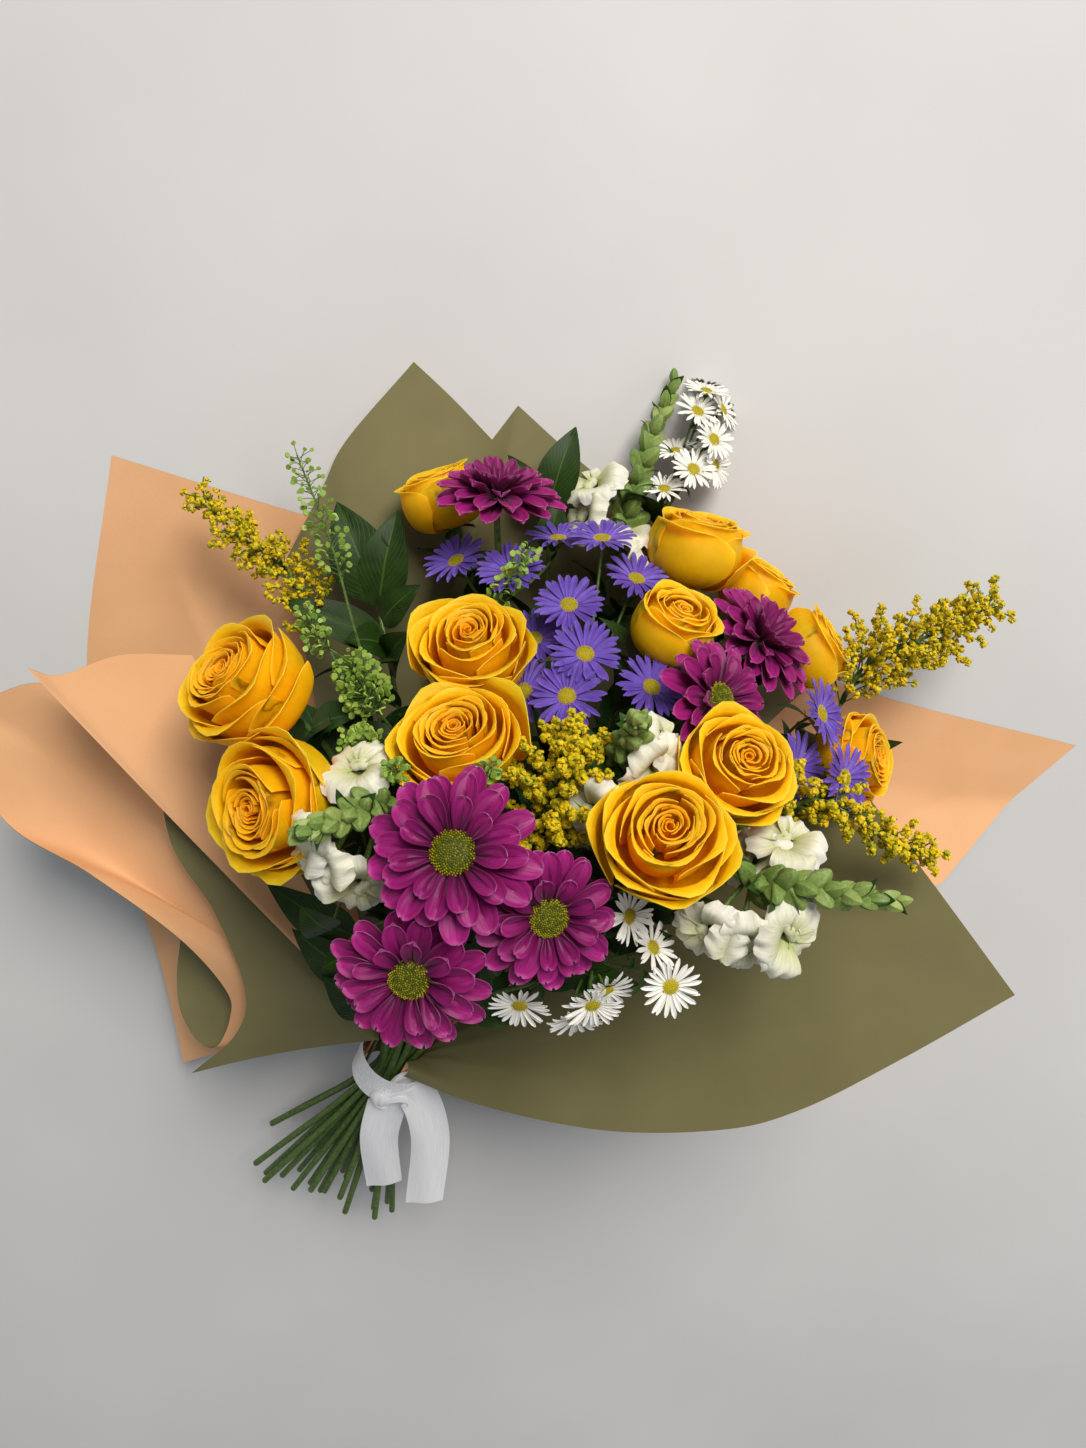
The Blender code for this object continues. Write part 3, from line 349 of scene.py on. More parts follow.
satinWhite = satinMaterial("white satin ribbon")


# Making and joining meshes
def alone(item):
    bpy.ops.object.select_all(action="DESELECT")
    item.select_set(True)
    bpy.context.view_layer.objects.active = item


def added(kind, **settings):
    # a new primitive, the only thing selected
    bpy.ops.object.select_all(action="DESELECT")
    getattr(bpy.ops.mesh, "primitive_" + kind + "_add")(**settings)
    return bpy.context.object


def taken(item):
    # the mesh of an object, which is then removed
    mesh = item.data
    bpy.data.objects.remove(item)
    return mesh


def baseGrid(columns, rows):
    # a flat unit grid with a UV map; every petal, leaf and sheet is a copy of one of these, reshaped
    return taken(added("grid", x_subdivisions=columns, y_subdivisions=rows, size=1.0))


def tinted(mesh, tint, material=None):
    # the tint moves a petal, floret or leaf towards its material's second tone
    if "tint" not in mesh.attributes:
        mesh.attributes.new("tint", "FLOAT", "POINT")
    mesh.attributes["tint"].data.foreach_set("value", [tint] * len(mesh.vertices))
    if material:
        mesh.materials.clear()
        mesh.materials.append(material)
    return mesh


def ball(segments, rings, material=None, radius=1.0):
    # a small sphere that is copied to its size and place
    item = added("uv_sphere", segments=segments, ring_count=rings, radius=radius)
    return tinted(taken(item), 0.0, material)


def shaped(base, place, tint=0.0, material=None):
    # a copy of a base grid whose points are placed by u, across, and v, along, both 0 to 1
    mesh = base.copy()
    for vert in mesh.vertices:
        vert.co = place(vert.co.x + 0.5, vert.co.y + 0.5)
    return tinted(mesh, tint, material)


def copied(mesh, matrix, tint=None, material=None):
    copy = mesh.copy()
    copy.transform(matrix)
    return copy if tint is None else tinted(copy, tint, material)


def joined(name, meshes):
    bpy.ops.object.select_all(action="DESELECT")
    items = [linked(name, mesh) for mesh in meshes]
    for item in items:
        item.select_set(True)
    bpy.context.view_layer.objects.active = items[0]
    if len(items) > 1:
        bpy.ops.object.join()
    items[0].name = items[0].data.name = name
    return items[0]


def thickened(item, thickness, materialOffset=0):
    # gives open blades a thickness in millimetres, half to each side
    modifier = item.modifiers.new("Solidify", "SOLIDIFY")
    modifier.thickness = thickness * mm
    modifier.offset = 0.0
    modifier.material_offset = materialOffset
    alone(item)
    bpy.ops.object.modifier_apply(modifier=modifier.name)
    return item


def mended(item, distance=0.02):
    # merges doubles within a distance in millimetres and points the faces outwards
    alone(item)
    bpy.ops.object.mode_set(mode="EDIT")
    bpy.ops.mesh.select_all(action="SELECT")
    bpy.ops.mesh.remove_doubles(threshold=distance * mm)
    bpy.ops.mesh.normals_make_consistent(inside=False)
    bpy.ops.object.mode_set(mode="OBJECT")
    return item


def placedPiece(item, slotName, *nodes, angle=50.0):
    # rests its lowest tips on the table, smooths it below an angle in degrees, and ties it to the frame
    for vert in item.data.vertices:
        vert.co.z = max(vert.co.z, 0.1 * mm)
    alone(item)
    bpy.ops.object.shade_smooth_by_angle(angle=math.radians(angle))
    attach(item, "root")
    if nodes:
        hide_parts(*nodes)
    return item


def newPiece(name, meshes, slotName, *nodes, thickness=0.0):
    # one piece of the bouquet, joined from its meshes
    item = joined(name, meshes)
    if thickness:
        thickened(item, thickness)
    return placedPiece(item, slotName, *nodes)


def tubes(paths, roundness, material, cutMaterial=None):
    # one mesh of round stems; each path is a list of (point, radius)
    curve = bpy.data.curves.new("tubes", "CURVE")
    curve.dimensions = "3D"
    curve.bevel_depth = 1.0
    curve.bevel_resolution = roundness
    curve.use_fill_caps = True
    for path in paths:
        spline = curve.splines.new("POLY")
        spline.points.add(len(path) - 1)
        for knot, (point, radius) in zip(spline.points, path):
            knot.co = (*point, 1.0)
            knot.radius = radius
    alone(linked("tubes", curve))
    bpy.ops.object.convert(target="MESH")
    mesh = tinted(taken(mended(bpy.context.object, 0.001)), 0.0, material)
    if cutMaterial:
        mesh.materials.append(cutMaterial)
        for polygon in mesh.polygons:
            if polygon.loop_total > 4:  # the round end caps
                polygon.material_index = 1
    return mesh


def tapered(curve, points, steps, first, last):
    # a path for tubes along a bezier or a through curve; its radius goes from first to last, in millimetres
    return [(curve(points, i / steps), (first + (last - first) * i / steps) * mm) for i in range(steps + 1)]


fineGrid = baseGrid(11, 13)
strapGrid = baseGrid(8, 13)
rayGrid = baseGrid(2, 7)
leafGrid = baseGrid(8, 14)

# Stems: the points each one passes, from its flower to its cut end, in millimetres
stemSettings = {
    "roundness": 2,
    "steps": 26,
    "radius": 2.38,
    "swelling": 0.04,
    "topRadius": {"rose": 2.0, "mum": 2.2, "snapdragon": 2.1, "aster": 1.8, "daisy": 1.5, "ruscus": 1.5,
                  "goldenrod": 1.4, "pepper": 1.2},
}
stemPoints = {
    "rose_1_stem": ((-162.8, 147.5, 149.1), (-140, 106.7, 127.6), (-115.2, 8.7, 108.1),
        (-127, -113.9, 89.2), (-147.7, -159.8, 76.2), (-239.8, -258.9, 46.1)),
    "rose_2_stem": ((-141.9, 106.8, 182.5), (-123.7, 82.7, 152), (-108.6, -1.4, 118.8),
        (-125.2, -115.9, 93.5), (-145.8, -161.9, 80.5), (-232.4, -270, 52.1)),
    "rose_3_stem": ((-73.1, 224.1, 38.5), (-61.2, 160.2, 44.2), (-71.6, 34.3, 70.2),
        (-118.7, -114, 76.4), (-139.3, -159.9, 63.4), (-214.6, -285, 3.9)),
    "rose_4_stem": ((-57.9, 158.6, 135.6), (-60.3, 109.4, 115), (-78.9, 7.4, 100.1),
        (-119.6, -116, 85), (-140.3, -161.9, 71.9), (-208.6, -271.6, 38.7)),
    "rose_5_stem": ((-59.4, 124.3, 184.5), (-59.8, 81.3, 158.9), (-79, -7.6, 124.6),
        (-120.5, -118, 93.5), (-141.2, -163.9, 80.5), (-210.9, -276.9, 52.7)),
    "rose_6_stem": ((67.2, 192.9, 60.2), (42.7, 129.5, 63), (-27.1, 18.1, 81.4),
        (-112.2, -118.1, 80.7), (-132.8, -164, 67.6), (-178.7, -287.3, 22.6)),
    "rose_7_stem": ((104.7, 168.6, 35.6), (64.1, 113.1, 40), (-20.3, 12.4, 68),
        (-109.4, -118.2, 76.4), (-130, -164.1, 63.4), (-159, -270.7, 13.2)),
    "rose_8_stem": ((45.8, 167.5, 115.5), (18.8, 114, 100.4), (-40.6, 9.9, 95.6),
        (-110.3, -120.2, 85), (-130.9, -166.1, 71.9), (-168.6, -292, 38.1)),
    "rose_9_stem": ((127.7, 143.2, 61.3), (74.1, 102, 59.3), (-19.2, 10.2, 77.6),
        (-107.5, -120.2, 80.7), (-128.2, -166.1, 67.6), (-159.1, -298.4, 22.1)),
    "rose_10_stem": ((144.4, 102.1, 113.9), (91.7, 76.6, 91.8), (-9.5, 0.3, 88.9),
        (-105.7, -122.3, 85), (-126.3, -168.2, 71.9), (-153.7, -313.7, 34.6)),
    "rose_11_stem": ((70.6, 118.8, 189), (43.9, 77.9, 156.1), (-27.1, -6.3, 119.8),
        (-108.4, -122.2, 89.2), (-129.1, -168.2, 76.2), (-150.8, -279.9, 50.6)),
    "rose_12_stem": ((37, 96.8, 228.6), (21.9, 57.4, 192.8), (-38.6, -16.9, 139.3),
        (-115.9, -120.1, 93.5), (-136.5, -166, 80.5), (-186.4, -277.1, 55.3)),
    "mum_stems_1": ((-83.4, -11, 184.5), (-89, -31.4, 166.3), (-97.5, -70.2, 130.2),
        (-114, -122.2, 97.8), (-134.6, -168.1, 84.7), (-172.7, -274, 65.2)),
    "mum_stems_2": ((-27.2, 50.5, 100), (-44.1, 18.4, 97.6), (-77, -42.7, 95.3),
        (-115, -118.1, 85), (-135.6, -164, 71.9), (-194.9, -296, 34.4)),
    "snapdragon_1": ((23.4, 197.7, 38.1), (3.3, 135.4, 44.6), (-47.3, 21.2, 70.7),
        (-114.1, -116.1, 76.4), (-134.7, -162, 63.4), (-188, -280.5, 7.8)),
    "snapdragon_2": ((-93.8, 112.9, 196.7), (-81.8, 82.9, 166.2), (-84.4, -5.1, 129.9),
        (-118.7, -120.1, 97.8), (-139.3, -166, 84.7), (-194.5, -267.8, 64.4)),
    "snapdragon_3": ((18.5, 122.9, 168.6), (4.6, 87.7, 134.4), (-46.2, -0.7, 107.4),
        (-113.1, -120.2, 89.2), (-133.7, -166.1, 76.2), (-169.7, -267.2, 51.6)),
    "snapdragon_4": ((81.4, 73.6, 211), (49.1, 48.2, 173.4), (-26.2, -18.7, 128.6),
        (-106.6, -124.3, 93.5), (-127.2, -170.2, 80.5), (-150, -305.4, 52.5)),
    "aster_spray_1": ((-51.5, 188.1, 65.1), (-63, 129.7, 70.4), (-83.4, 17.7, 84.8),
        (-121.5, -114, 80.7), (-142.1, -159.9, 67.6), (-221.8, -273.6, 21.3)),
    "aster_spray_2": ((5.6, 140.2, 114.4), (-17.7, 91.1, 109.2), (-62.9, -2, 100.5),
        (-116.8, -116, 80.7), (-137.5, -162, 67.6), (-188.4, -254.1, 29.5)),
    "aster_spray_3": ((132.3, 107.5, 94.4), (86.7, 65.2, 91.4), (-7.7, -12.4, 92.4),
        (-102.9, -122.3, 80.7), (-123.5, -168.2, 67.6), (-145.6, -323.2, 17.7)),
    "daisy_spray_1": ((61.1, 242.6, 23.9), (30.8, 172.9, 37.7), (-32.3, 42.3, 69.1),
        (-111.3, -116.1, 72.1), (-131.9, -162, 59.1), (-183.1, -297.1, 2.4)),
    "daisy_spray_2": ((11.7, 24.5, 209.8), (-12.5, -2.1, 185.8), (-60.3, -50.4, 138.1),
        (-111.2, -122.2, 93.5), (-131.9, -168.1, 80.5), (-172.9, -301.7, 50.9)),
    "ruscus_1": ((-111, 133.1, 74.4), (-104.6, 86.5, 81.6), (-101.9, -5, 87.6),
        (-123.4, -111.9, 76.4), (-144, -157.8, 63.4), (-217.9, -237.6, 14.7)),
    "ruscus_2": ((-17.7, 172, 51.8), (-29.3, 118, 66.2), (-64.6, 13, 81.6),
        (-115.9, -114, 72.1), (-136.6, -159.9, 59.1), (-188.2, -253.7, 2.4)),
    "goldenrod_1": ((166.5, 113.5, 65.6), (120.9, 63.3, 73.1), (9.3, -12.6, 86.1),
        (-104.7, -120.3, 76.4), (-125.4, -166.2, 63.4), (-139.6, -282.4, 12.4)),
    "goldenrod_2": ((-149.4, 159.3, 75.5), (-129.2, 112, 87.5), (-110, 10.3, 95.1),
        (-126.1, -111.9, 80.7), (-146.8, -157.8, 67.6), (-229.1, -235.1, 29.6)),
    "goldenrod_3": ((-9.8, 80.2, 189.5), (-16.1, 41.3, 166.6), (-58, -28.4, 127.1),
        (-117.7, -118.1, 89.2), (-138.4, -164, 76.2), (-199.1, -277.8, 46)),
    "goldenrod_4": ((103, 84.8, 161.2), (59.6, 52.6, 140.2), (-23.2, -18.4, 115.5),
        (-103.8, -124.3, 89.2), (-124.4, -170.2, 76.2), (-137.2, -304.4, 46.3)),
    "pepper_grass_1": ((-121.4, 141, 98.2), (-112.8, 92.2, 97.2), (-105.5, -3, 97.2),
        (-124.3, -113.9, 85), (-144.9, -159.8, 71.9), (-236.5, -279, 34)),
    "pepper_grass_2": ((-101.3, 121.7, 131.8), (-93.2, 81.9, 112.7), (-95, -7.2, 100.5),
        (-122.4, -116, 89.2), (-143, -161.9, 76.2), (-220.6, -271.1, 45.3)),
}


stemLines = {name: [Vector(point) * mm for point in points] for name, points in stemPoints.items()}


def stemTube(name):
    # the smooth stem of a node, thinner near its flower
    low, steps = stemSettings["radius"], stemSettings["steps"]
    top = stemSettings["topRadius"][name.split("_")[0]]
    radii = [(0.0, top), (0.2, top), (0.4, min(low, top + 0.3)), (0.6, low), (1.0, low)]
    path = []
    for step in range(steps + 1):
        swollen = 1 + stemSettings["swelling"] * math.sin(step * 2.4)
        path.append((through(stemLines[name], step / steps), levelAt(radii, step / steps) * mm * swollen))
    return tubes([path], stemSettings["roundness"], stemSkin, stemCut)


# Roses
# Each bloom: picture x, picture y, depth, lean from the line of sight, direction of the lean, diameter, spin
roses = {
    "rose_1": (243, 682, -62, 42, 140, 66, 10),
    "rose_2": (272, 806, -40, 30, 185, 68, 40),
    "rose_3": (442, 495, -154, 70, 110, 52, 0),
    "rose_4": (470, 648, -72, 38, 92, 58, 70),
    "rose_5": (458, 742, -36, 34, 100, 60, 25),
    "rose_6": (697, 545, -142, 68, 75, 62, 50),
    "rose_7": (758, 588, -176, 70, 55, 50, 15),
    "rose_8": (675, 625, -94, 50, 60, 50, 35),
    "rose_9": (813, 648, -160, 70, 30, 54, 60),
    "rose_10": (857, 758, -118, 52, 5, 52, 5),
    "rose_11": (737, 766, -34, 30, 50, 56, 30),
    "rose_12": (665, 836, -2, 26, 80, 60, 55),
}
closedRoses = ("rose_3", "rose_6", "rose_7", "rose_8", "rose_9")
roseShape = {"height": 0.74, "seat": 0.55, "oval": 0.26, "thickness": 0.45}
# Petals stand in one spiral from the guard petals to the heart. Each key is a place on the way (0 to 1),
# half width in degrees, drop of the rim's sides, its power, spiral, point, wave, tint, and the profile from
# foot to rim as (radius, height) parts of the bloom's own
openBloom = {
    "petals": 31,
    "keys": [
        (0.00, 68, 0.34, 1.5, 0.03, 0.12, 0.06, 0.00,
         [(0.10, 0.00), (0.50, 0.04), (0.84, 0.18), (0.98, 0.42), (1.00, 0.60), (1.11, 0.66)]),
        (0.10, 68, 0.31, 1.6, 0.04, 0.10, 0.06, 0.00,
         [(0.10, 0.01), (0.50, 0.06), (0.80, 0.24), (0.92, 0.49), (0.93, 0.69), (1.04, 0.755)]),
        (0.20, 66, 0.28, 1.7, 0.05, 0.08, 0.05, 0.04,
         [(0.10, 0.03), (0.46, 0.11), (0.72, 0.33), (0.80, 0.60), (0.79, 0.79), (0.89, 0.86)]),
        (0.28, 60, 0.24, 1.8, 0.05, 0.05, 0.06, 0.16,
         [(0.09, 0.05), (0.40, 0.17), (0.58, 0.43), (0.63, 0.71), (0.60, 0.875), (0.66, 0.925)]),
        (0.45, 58, 0.22, 1.8, 0.06, 0.03, 0.06, 0.30,
         [(0.08, 0.11), (0.32, 0.27), (0.46, 0.55), (0.49, 0.79), (0.47, 0.90), (0.52, 0.935)]),
        (0.62, 60, 0.22, 1.8, 0.08, 0.02, 0.055, 0.44,
         [(0.06, 0.18), (0.23, 0.37), (0.33, 0.62), (0.36, 0.82), (0.345, 0.905), (0.385, 0.935)]),
        (0.78, 68, 0.18, 1.9, 0.11, 0.02, 0.045, 0.58,
         [(0.05, 0.25), (0.16, 0.44), (0.225, 0.67), (0.245, 0.84), (0.235, 0.90), (0.27, 0.925)]),
        (0.90, 84, 0.12, 2.0, 0.16, 0.01, 0.03, 0.70,
         [(0.04, 0.30), (0.10, 0.52), (0.14, 0.73), (0.15, 0.85), (0.145, 0.895), (0.17, 0.915)]),
        (1.00, 118, 0.06, 2.4, 0.24, 0.00, 0.02, 0.80,
         [(0.02, 0.36), (0.04, 0.56), (0.055, 0.75), (0.06, 0.84), (0.055, 0.88), (0.07, 0.90)]),
    ],
}
closedBloom = {
    "petals": 21,
    "keys": [
        (0.00, 76, 0.30, 1.6, 0.04, 0.12, 0.05, 0.00,
         [(0.12, 0.00), (0.62, 0.06), (0.92, 0.28), (0.97, 0.54), (0.88, 0.78), (1.00, 0.85)]),
        (0.15, 74, 0.26, 1.7, 0.05, 0.10, 0.05, 0.00,
         [(0.10, 0.02), (0.58, 0.10), (0.82, 0.34), (0.85, 0.60), (0.72, 0.86), (0.80, 0.935)]),
        (0.32, 68, 0.24, 1.8, 0.06, 0.05, 0.05, 0.10,
         [(0.10, 0.05), (0.46, 0.16), (0.66, 0.42), (0.66, 0.70), (0.54, 0.885), (0.60, 0.94)]),
        (0.52, 64, 0.20, 1.8, 0.08, 0.03, 0.045, 0.26,
         [(0.08, 0.10), (0.34, 0.27), (0.47, 0.53), (0.47, 0.78), (0.39, 0.895), (0.44, 0.935)]),
        (0.72, 70, 0.16, 1.9, 0.11, 0.02, 0.035, 0.44,
         [(0.05, 0.18), (0.20, 0.38), (0.29, 0.64), (0.29, 0.83), (0.255, 0.895), (0.29, 0.92)]),
        (0.88, 86, 0.12, 2.0, 0.16, 0.01, 0.03, 0.60,
         [(0.03, 0.26), (0.10, 0.48), (0.15, 0.72), (0.15, 0.84), (0.13, 0.885), (0.15, 0.905)]),
        (1.00, 118, 0.06, 2.4, 0.24, 0.00, 0.02, 0.72,
         [(0.02, 0.32), (0.045, 0.55), (0.06, 0.75), (0.06, 0.83), (0.05, 0.87), (0.06, 0.89)]),
    ],
}
# Loose outer petals: picture direction in degrees, reach and height as parts of the bloom's own
loosePetals = {
    "rose_1": [(-40, 1.16, 0.60), (215, 1.06, 0.52)],
    "rose_2": [(65, 1.10, 0.74), (235, 1.10, 0.50)],
    "rose_4": [(140, 1.12, 0.80), (-5, 1.12, 0.62)],
    "rose_5": [(50, 1.22, 0.78), (185, 1.08, 0.66)],
    "rose_6": [(10, 1.06, 0.66)],
    "rose_11": [(205, 1.12, 0.60), (-60, 1.06, 0.56)],
    "rose_12": [(165, 1.12, 0.52), (-20, 1.10, 0.60), (275, 1.06, 0.56)],
}


def rosePetal(azimuth, half, drop, power, spiral, tint, profile, radius, height, point, wave, tilt):
    # a cupped petal on a surface of revolution, its rim rolled back to a point, one side tucked inwards
    line = [Vector((r, z, 0)) for r, z in profile]
    seed = rng.uniform(0, 50)

    def place(u, v):
        t = 2 * u - 1
        along = v * (1 - drop * abs(t) ** power * eased(v, 0.25, 1.0))
        here = through(line, along)
        spread = 0.34 + 0.66 * math.sin(math.pi / 2 * min(1.0, v / 0.62))
        angle = azimuth + half * t * spread
        ruffle = noise.noise(Vector((t * 1.5 + seed, v * 1.4, seed)))
        reach = here.x * (1 + spiral * t) + wave * ruffle * eased(v, 0.35, 1.0)
        reach += 0.05 * abs(t) ** 3 * eased(v, 0.5, 1.0) * here.x
        tip = point * math.exp(-(t / 0.26) ** 2) * eased(v, 0.82, 1.0)
        reach += tip
        reach *= 1 + roseShape["oval"] * math.cos(2 * angle) * (1 - min(1.0, here.x)) * (1 - tint)
        tall = here.y - tip * 0.10 + tilt * math.cos(angle - azimuth) * here.x
        tall += wave * 0.5 * noise.noise(Vector((seed, t * 1.9, v * 1.6))) * eased(v, 0.4, 1.0)
        return Vector((reach * math.cos(angle) * radius, reach * math.sin(angle) * radius, tall * height))
    return shaped(fineGrid, place, tint, rosePetalSkin)


def petalStyle(keys, share):
    # the settings of a petal at this place between the guard petals, 0, and the heart, 1
    for first, second in zip(keys, keys[1:]):
        if share <= second[0]:
            break
    mix = (share - first[0]) / (second[0] - first[0])
    values = [a + (b - a) * mix for a, b in zip(first[1:8], second[1:8])]
    profile = [(r1 + (r2 - r1) * mix, z1 + (z2 - z1) * mix)
               for (r1, z1), (r2, z2) in zip(first[8], second[8])]
    return values, profile


def roseBloom(name):
    x, y, depth, lean, toward, diameter, spin = roses[name]
    forward = facing(lean, toward)
    radius, height = diameter * mm / 2, diameter * mm * roseShape["height"]
    base = spot((x, y, depth)) - forward * (height * roseShape["seat"])
    turn = frameAt(base, forward, spin)
    petals = []
    style = closedBloom if name in closedRoses else openBloom
    for index in range(style["petals"]):
        share = index / (style["petals"] - 1)
        (half, drop, power, spiral, point, wave, tint), profile = petalStyle(style["keys"], share)
        crowded = eased(share, 0.15, 0.4)  # the heart's petals press each other out of line
        azimuth = math.radians(goldenAngle * index + rng.uniform(-1, 1) * (8 + 40 * crowded))
        scale = rng.uniform(0.97, 1.03) + 0.05 * rng.uniform(-1, 1) * crowded
        rise = 1 + 0.018 * rng.uniform(-1, 1) * crowded
        grown = [(r * scale, z * rise * rng.uniform(0.99, 1.01)) for r, z in profile]
        petals.append(rosePetal(azimuth, math.radians(half * rng.uniform(0.92, 1.08)), drop, power, spiral,
                                min(1.0, max(0.0, tint + rng.uniform(-0.06, 0.08))), grown, radius, height,
                                point * rng.uniform(0.4, 1.1), wave, rng.uniform(-0.03, 0.03)))
    for direction, reach, tall in loosePetals.get(name, ()):
        local = turn.to_3x3().transposed() @ facing(90, direction)
        profile = [(0.12, -0.01), (0.52 * reach, 0.02 * tall), (0.84 * reach, 0.26 * tall),
                   (0.95 * reach, 0.60 * tall), (0.99 * reach, 0.86 * tall), (1.07 * reach, 0.98 * tall)]
        petals.append(rosePetal(math.atan2(local.y, local.x), math.radians(54), 0.34, 1.5, 0.0, 0.0, profile,
                                radius, height, 0.08, 0.06, 0.0))
    newPiece(name + "_petals", [copied(petal, turn) for petal in petals], "rose_petal", name + "_bloom",
             thickness=roseShape["thickness"])
    return base, forward


# Leaves
def leafMesh(start, tip, width, up, tint, material, arch=0.10, fold=0.5, wave=0.03, point=1.0):
    along = tip - start
    length = along.length
    across = along.cross(up).normalized()
    rise = across.cross(along).normalized()
    seed = rng.uniform(0, 90)

    def place(u, v):
        t = 2 * u - 1
        half = 0.5 * width * (math.sin(math.pi * min(1.0, 0.03 + 0.97 * v) ** (0.72 * point)) ** 0.9 + 0.012)
        lift = arch * length * math.sin(math.pi * v) + fold * 0.36 * width * abs(t) * v * (1 - v) * 2
        ripple = wave * length * noise.noise(Vector((seed + v * 2.6, t * 1.2, seed))) * v
        return start + along * v + across * (half * t) + rise * (lift + ripple)
    return shaped(leafGrid, place, tint, material)


roseGreen = {
    "cup": 5.2, "sepals": 5, "sepalLength": 15.0, "sepalWidth": 5.0,
    "leaves": 5, "leafLength": (34.0, 46.0), "leafWidth": 22.0, "leafClearance": 12.0,
}
roseCup = ball(12, 8, stemSkin, roseGreen["cup"] * mm)


def roseStem(name, base, forward):
    # stem, the green cup under the bloom, turned-back sepals, and a few leaves high on the stem
    cup = copied(roseCup, frameAt(base - forward * 3.0 * mm, forward, size=(0.85, 0.85, 1.15)))
    pieces = [stemTube(name + "_stem"), cup]
    for index in range(roseGreen["sepals"]):
        angle = 2 * math.pi * (index + rng.uniform(-0.1, 0.1)) / roseGreen["sepals"]
        turn = frameAt(base - forward * 1.0 * mm, forward) @ Matrix.Rotation(angle, 4, "Z")
        start = turn @ Vector((2.5 * mm, 0, 0))
        reach = roseGreen["sepalLength"] * rng.uniform(0.8, 1.1) * mm
        tip = turn @ Vector((reach, 0, rng.uniform(-6, 3) * mm))
        pieces.append(leafMesh(start, tip, roseGreen["sepalWidth"] * mm, forward, rng.uniform(0.2, 0.6),
                               roseLeafSkin, 0.12))
    points = stemLines[name + "_stem"]
    for index in range(roseGreen["leaves"]):
        t = 0.10 + 0.055 * index
        start = through(points, t)
        along = (through(points, t - 0.03) - start).normalized()
        out = aside(start, along, index * goldenAngle + rng.uniform(-20, 20), rng.uniform(0.5, 1.1))
        tip = start + out * (rng.uniform(*roseGreen["leafLength"]) * mm)
        tip.z = max(tip.z, roseGreen["leafClearance"] * mm)
        pieces.append(leafMesh(start, tip, roseGreen["leafWidth"] * rng.uniform(0.8, 1.1) * mm, along,
                               rng.uniform(0.0, 0.5), roseLeafSkin))
    newPiece(name + "_green", pieces, "stem_green", name + "_stem")


for roseName in roses:
    roseStem(roseName, *roseBloom(roseName))
print("roses done")

# Spray chrysanthemums
mums = {
    "mum_1": (453, 853, 16, 14, 110, 82, 0),
    "mum_2": (410, 978, 0, 20, 250, 80, 8),
    "mum_3": (548, 917, 2, 18, 320, 74, 12),
    "mum_4": (498, 494, -106, 58, 84, 78, 4),
    "mum_5": (718, 700, -71, 42, 20, 76, 6),
    "mum_6": (762, 640, -116, 52, 40, 78, 2),
}
openMums = ("mum_1", "mum_2", "mum_3", "mum_5")
# Petal rings: how many, turn, foot radius, reach, half width, height of the foot, rise, droop, cup, tint
mumRings = [
    (13, 0.00, 0.12, 1.00, 0.172, 0.06, 0.30, 0.26, 0.45, 0.05),
    (12, 0.45, 0.12, 0.88, 0.160, 0.12, 0.42, 0.26, 0.60, 0.12),
    (9, 0.20, 0.21, 0.66, 0.130, 0.17, 0.40, 0.16, 0.90, 0.25),
]
mumCentre = {"radius": 0.265, "florets": 260, "dome": 0.10, "floret": 0.60, "height": 0.22}
mumThickness = 0.4
shutMiddle = {"petals": 12, "turn": 2.399}  # the short petals of a bloom that is still shut


def mumPetal(footRadius, reach, halfWidth, foot, rise, droop, cup, radius, tint):
    seed = rng.uniform(0, 70)
    bend = rng.uniform(-0.05, 0.05)
    notch = rng.uniform(0.0, 0.02)

    def place(u, v):
        t = 2 * u - 1
        v = 1 - (1 - v) ** 1.7  # more rows near the rounded tip
        along = v - notch * math.cos(3 * math.pi * t) * eased(v, 0.9, 1.0)
        wide = levelAt([(0.0, 0.36), (0.18, 0.52), (0.45, 0.88), (0.66, 1.0), (0.80, 0.97), (0.90, 0.82),
                        (0.95, 0.64), (0.98, 0.44), (1.0, 0.14)], v)
        out = footRadius + (reach - footRadius) * along
        side = t * halfWidth * wide + bend * along ** 2
        tall = foot + rise * along - droop * along ** 2
        tall += cup * halfWidth * t * t * (1 - 0.3 * v)
        tall -= 0.030 * math.cos(5 * math.pi * t) * (1 - t * t) * math.sin(math.pi * min(1.0, 0.1 + v))
        tall += 0.03 * noise.noise(Vector((seed, v * 2.2, t * 0.8))) * v
        return Vector((out * radius, side * radius, tall * radius))
    return shaped(strapGrid, place, tint, mumPetalSkin)


floretBead = taken(added("ico_sphere", subdivisions=1, radius=1.0))
discDome = ball(20, 8)


def discOf(count, radius, dome, size, height, material, rimTint, middleTint):
    # florets packed in a spiral on a low dome
    matrix = Matrix.Translation((0, 0, height)) @ Matrix.Diagonal((radius, radius, dome, 1))
    pieces = [copied(discDome, matrix, middleTint, material)]
    for index in range(count):
        share = (index + 0.5) / count
        out = radius * math.sqrt(share)
        angle = math.radians(discAngle * index)
        lift = height + dome * math.sqrt(max(0.0, 1 - share * 0.9))
        tall = size * (1.5 if share > 0.55 else 1.1)
        matrix = (Matrix.Translation((out * math.cos(angle), out * math.sin(angle), lift))
                  @ Matrix.Diagonal((size, size, tall, 1)))
        tint = min(1.0, (rimTint if share > 0.6 else middleTint) + 0.5 * rng.random() ** 2)
        pieces.append(copied(floretBead, matrix, tint, material))
    return pieces


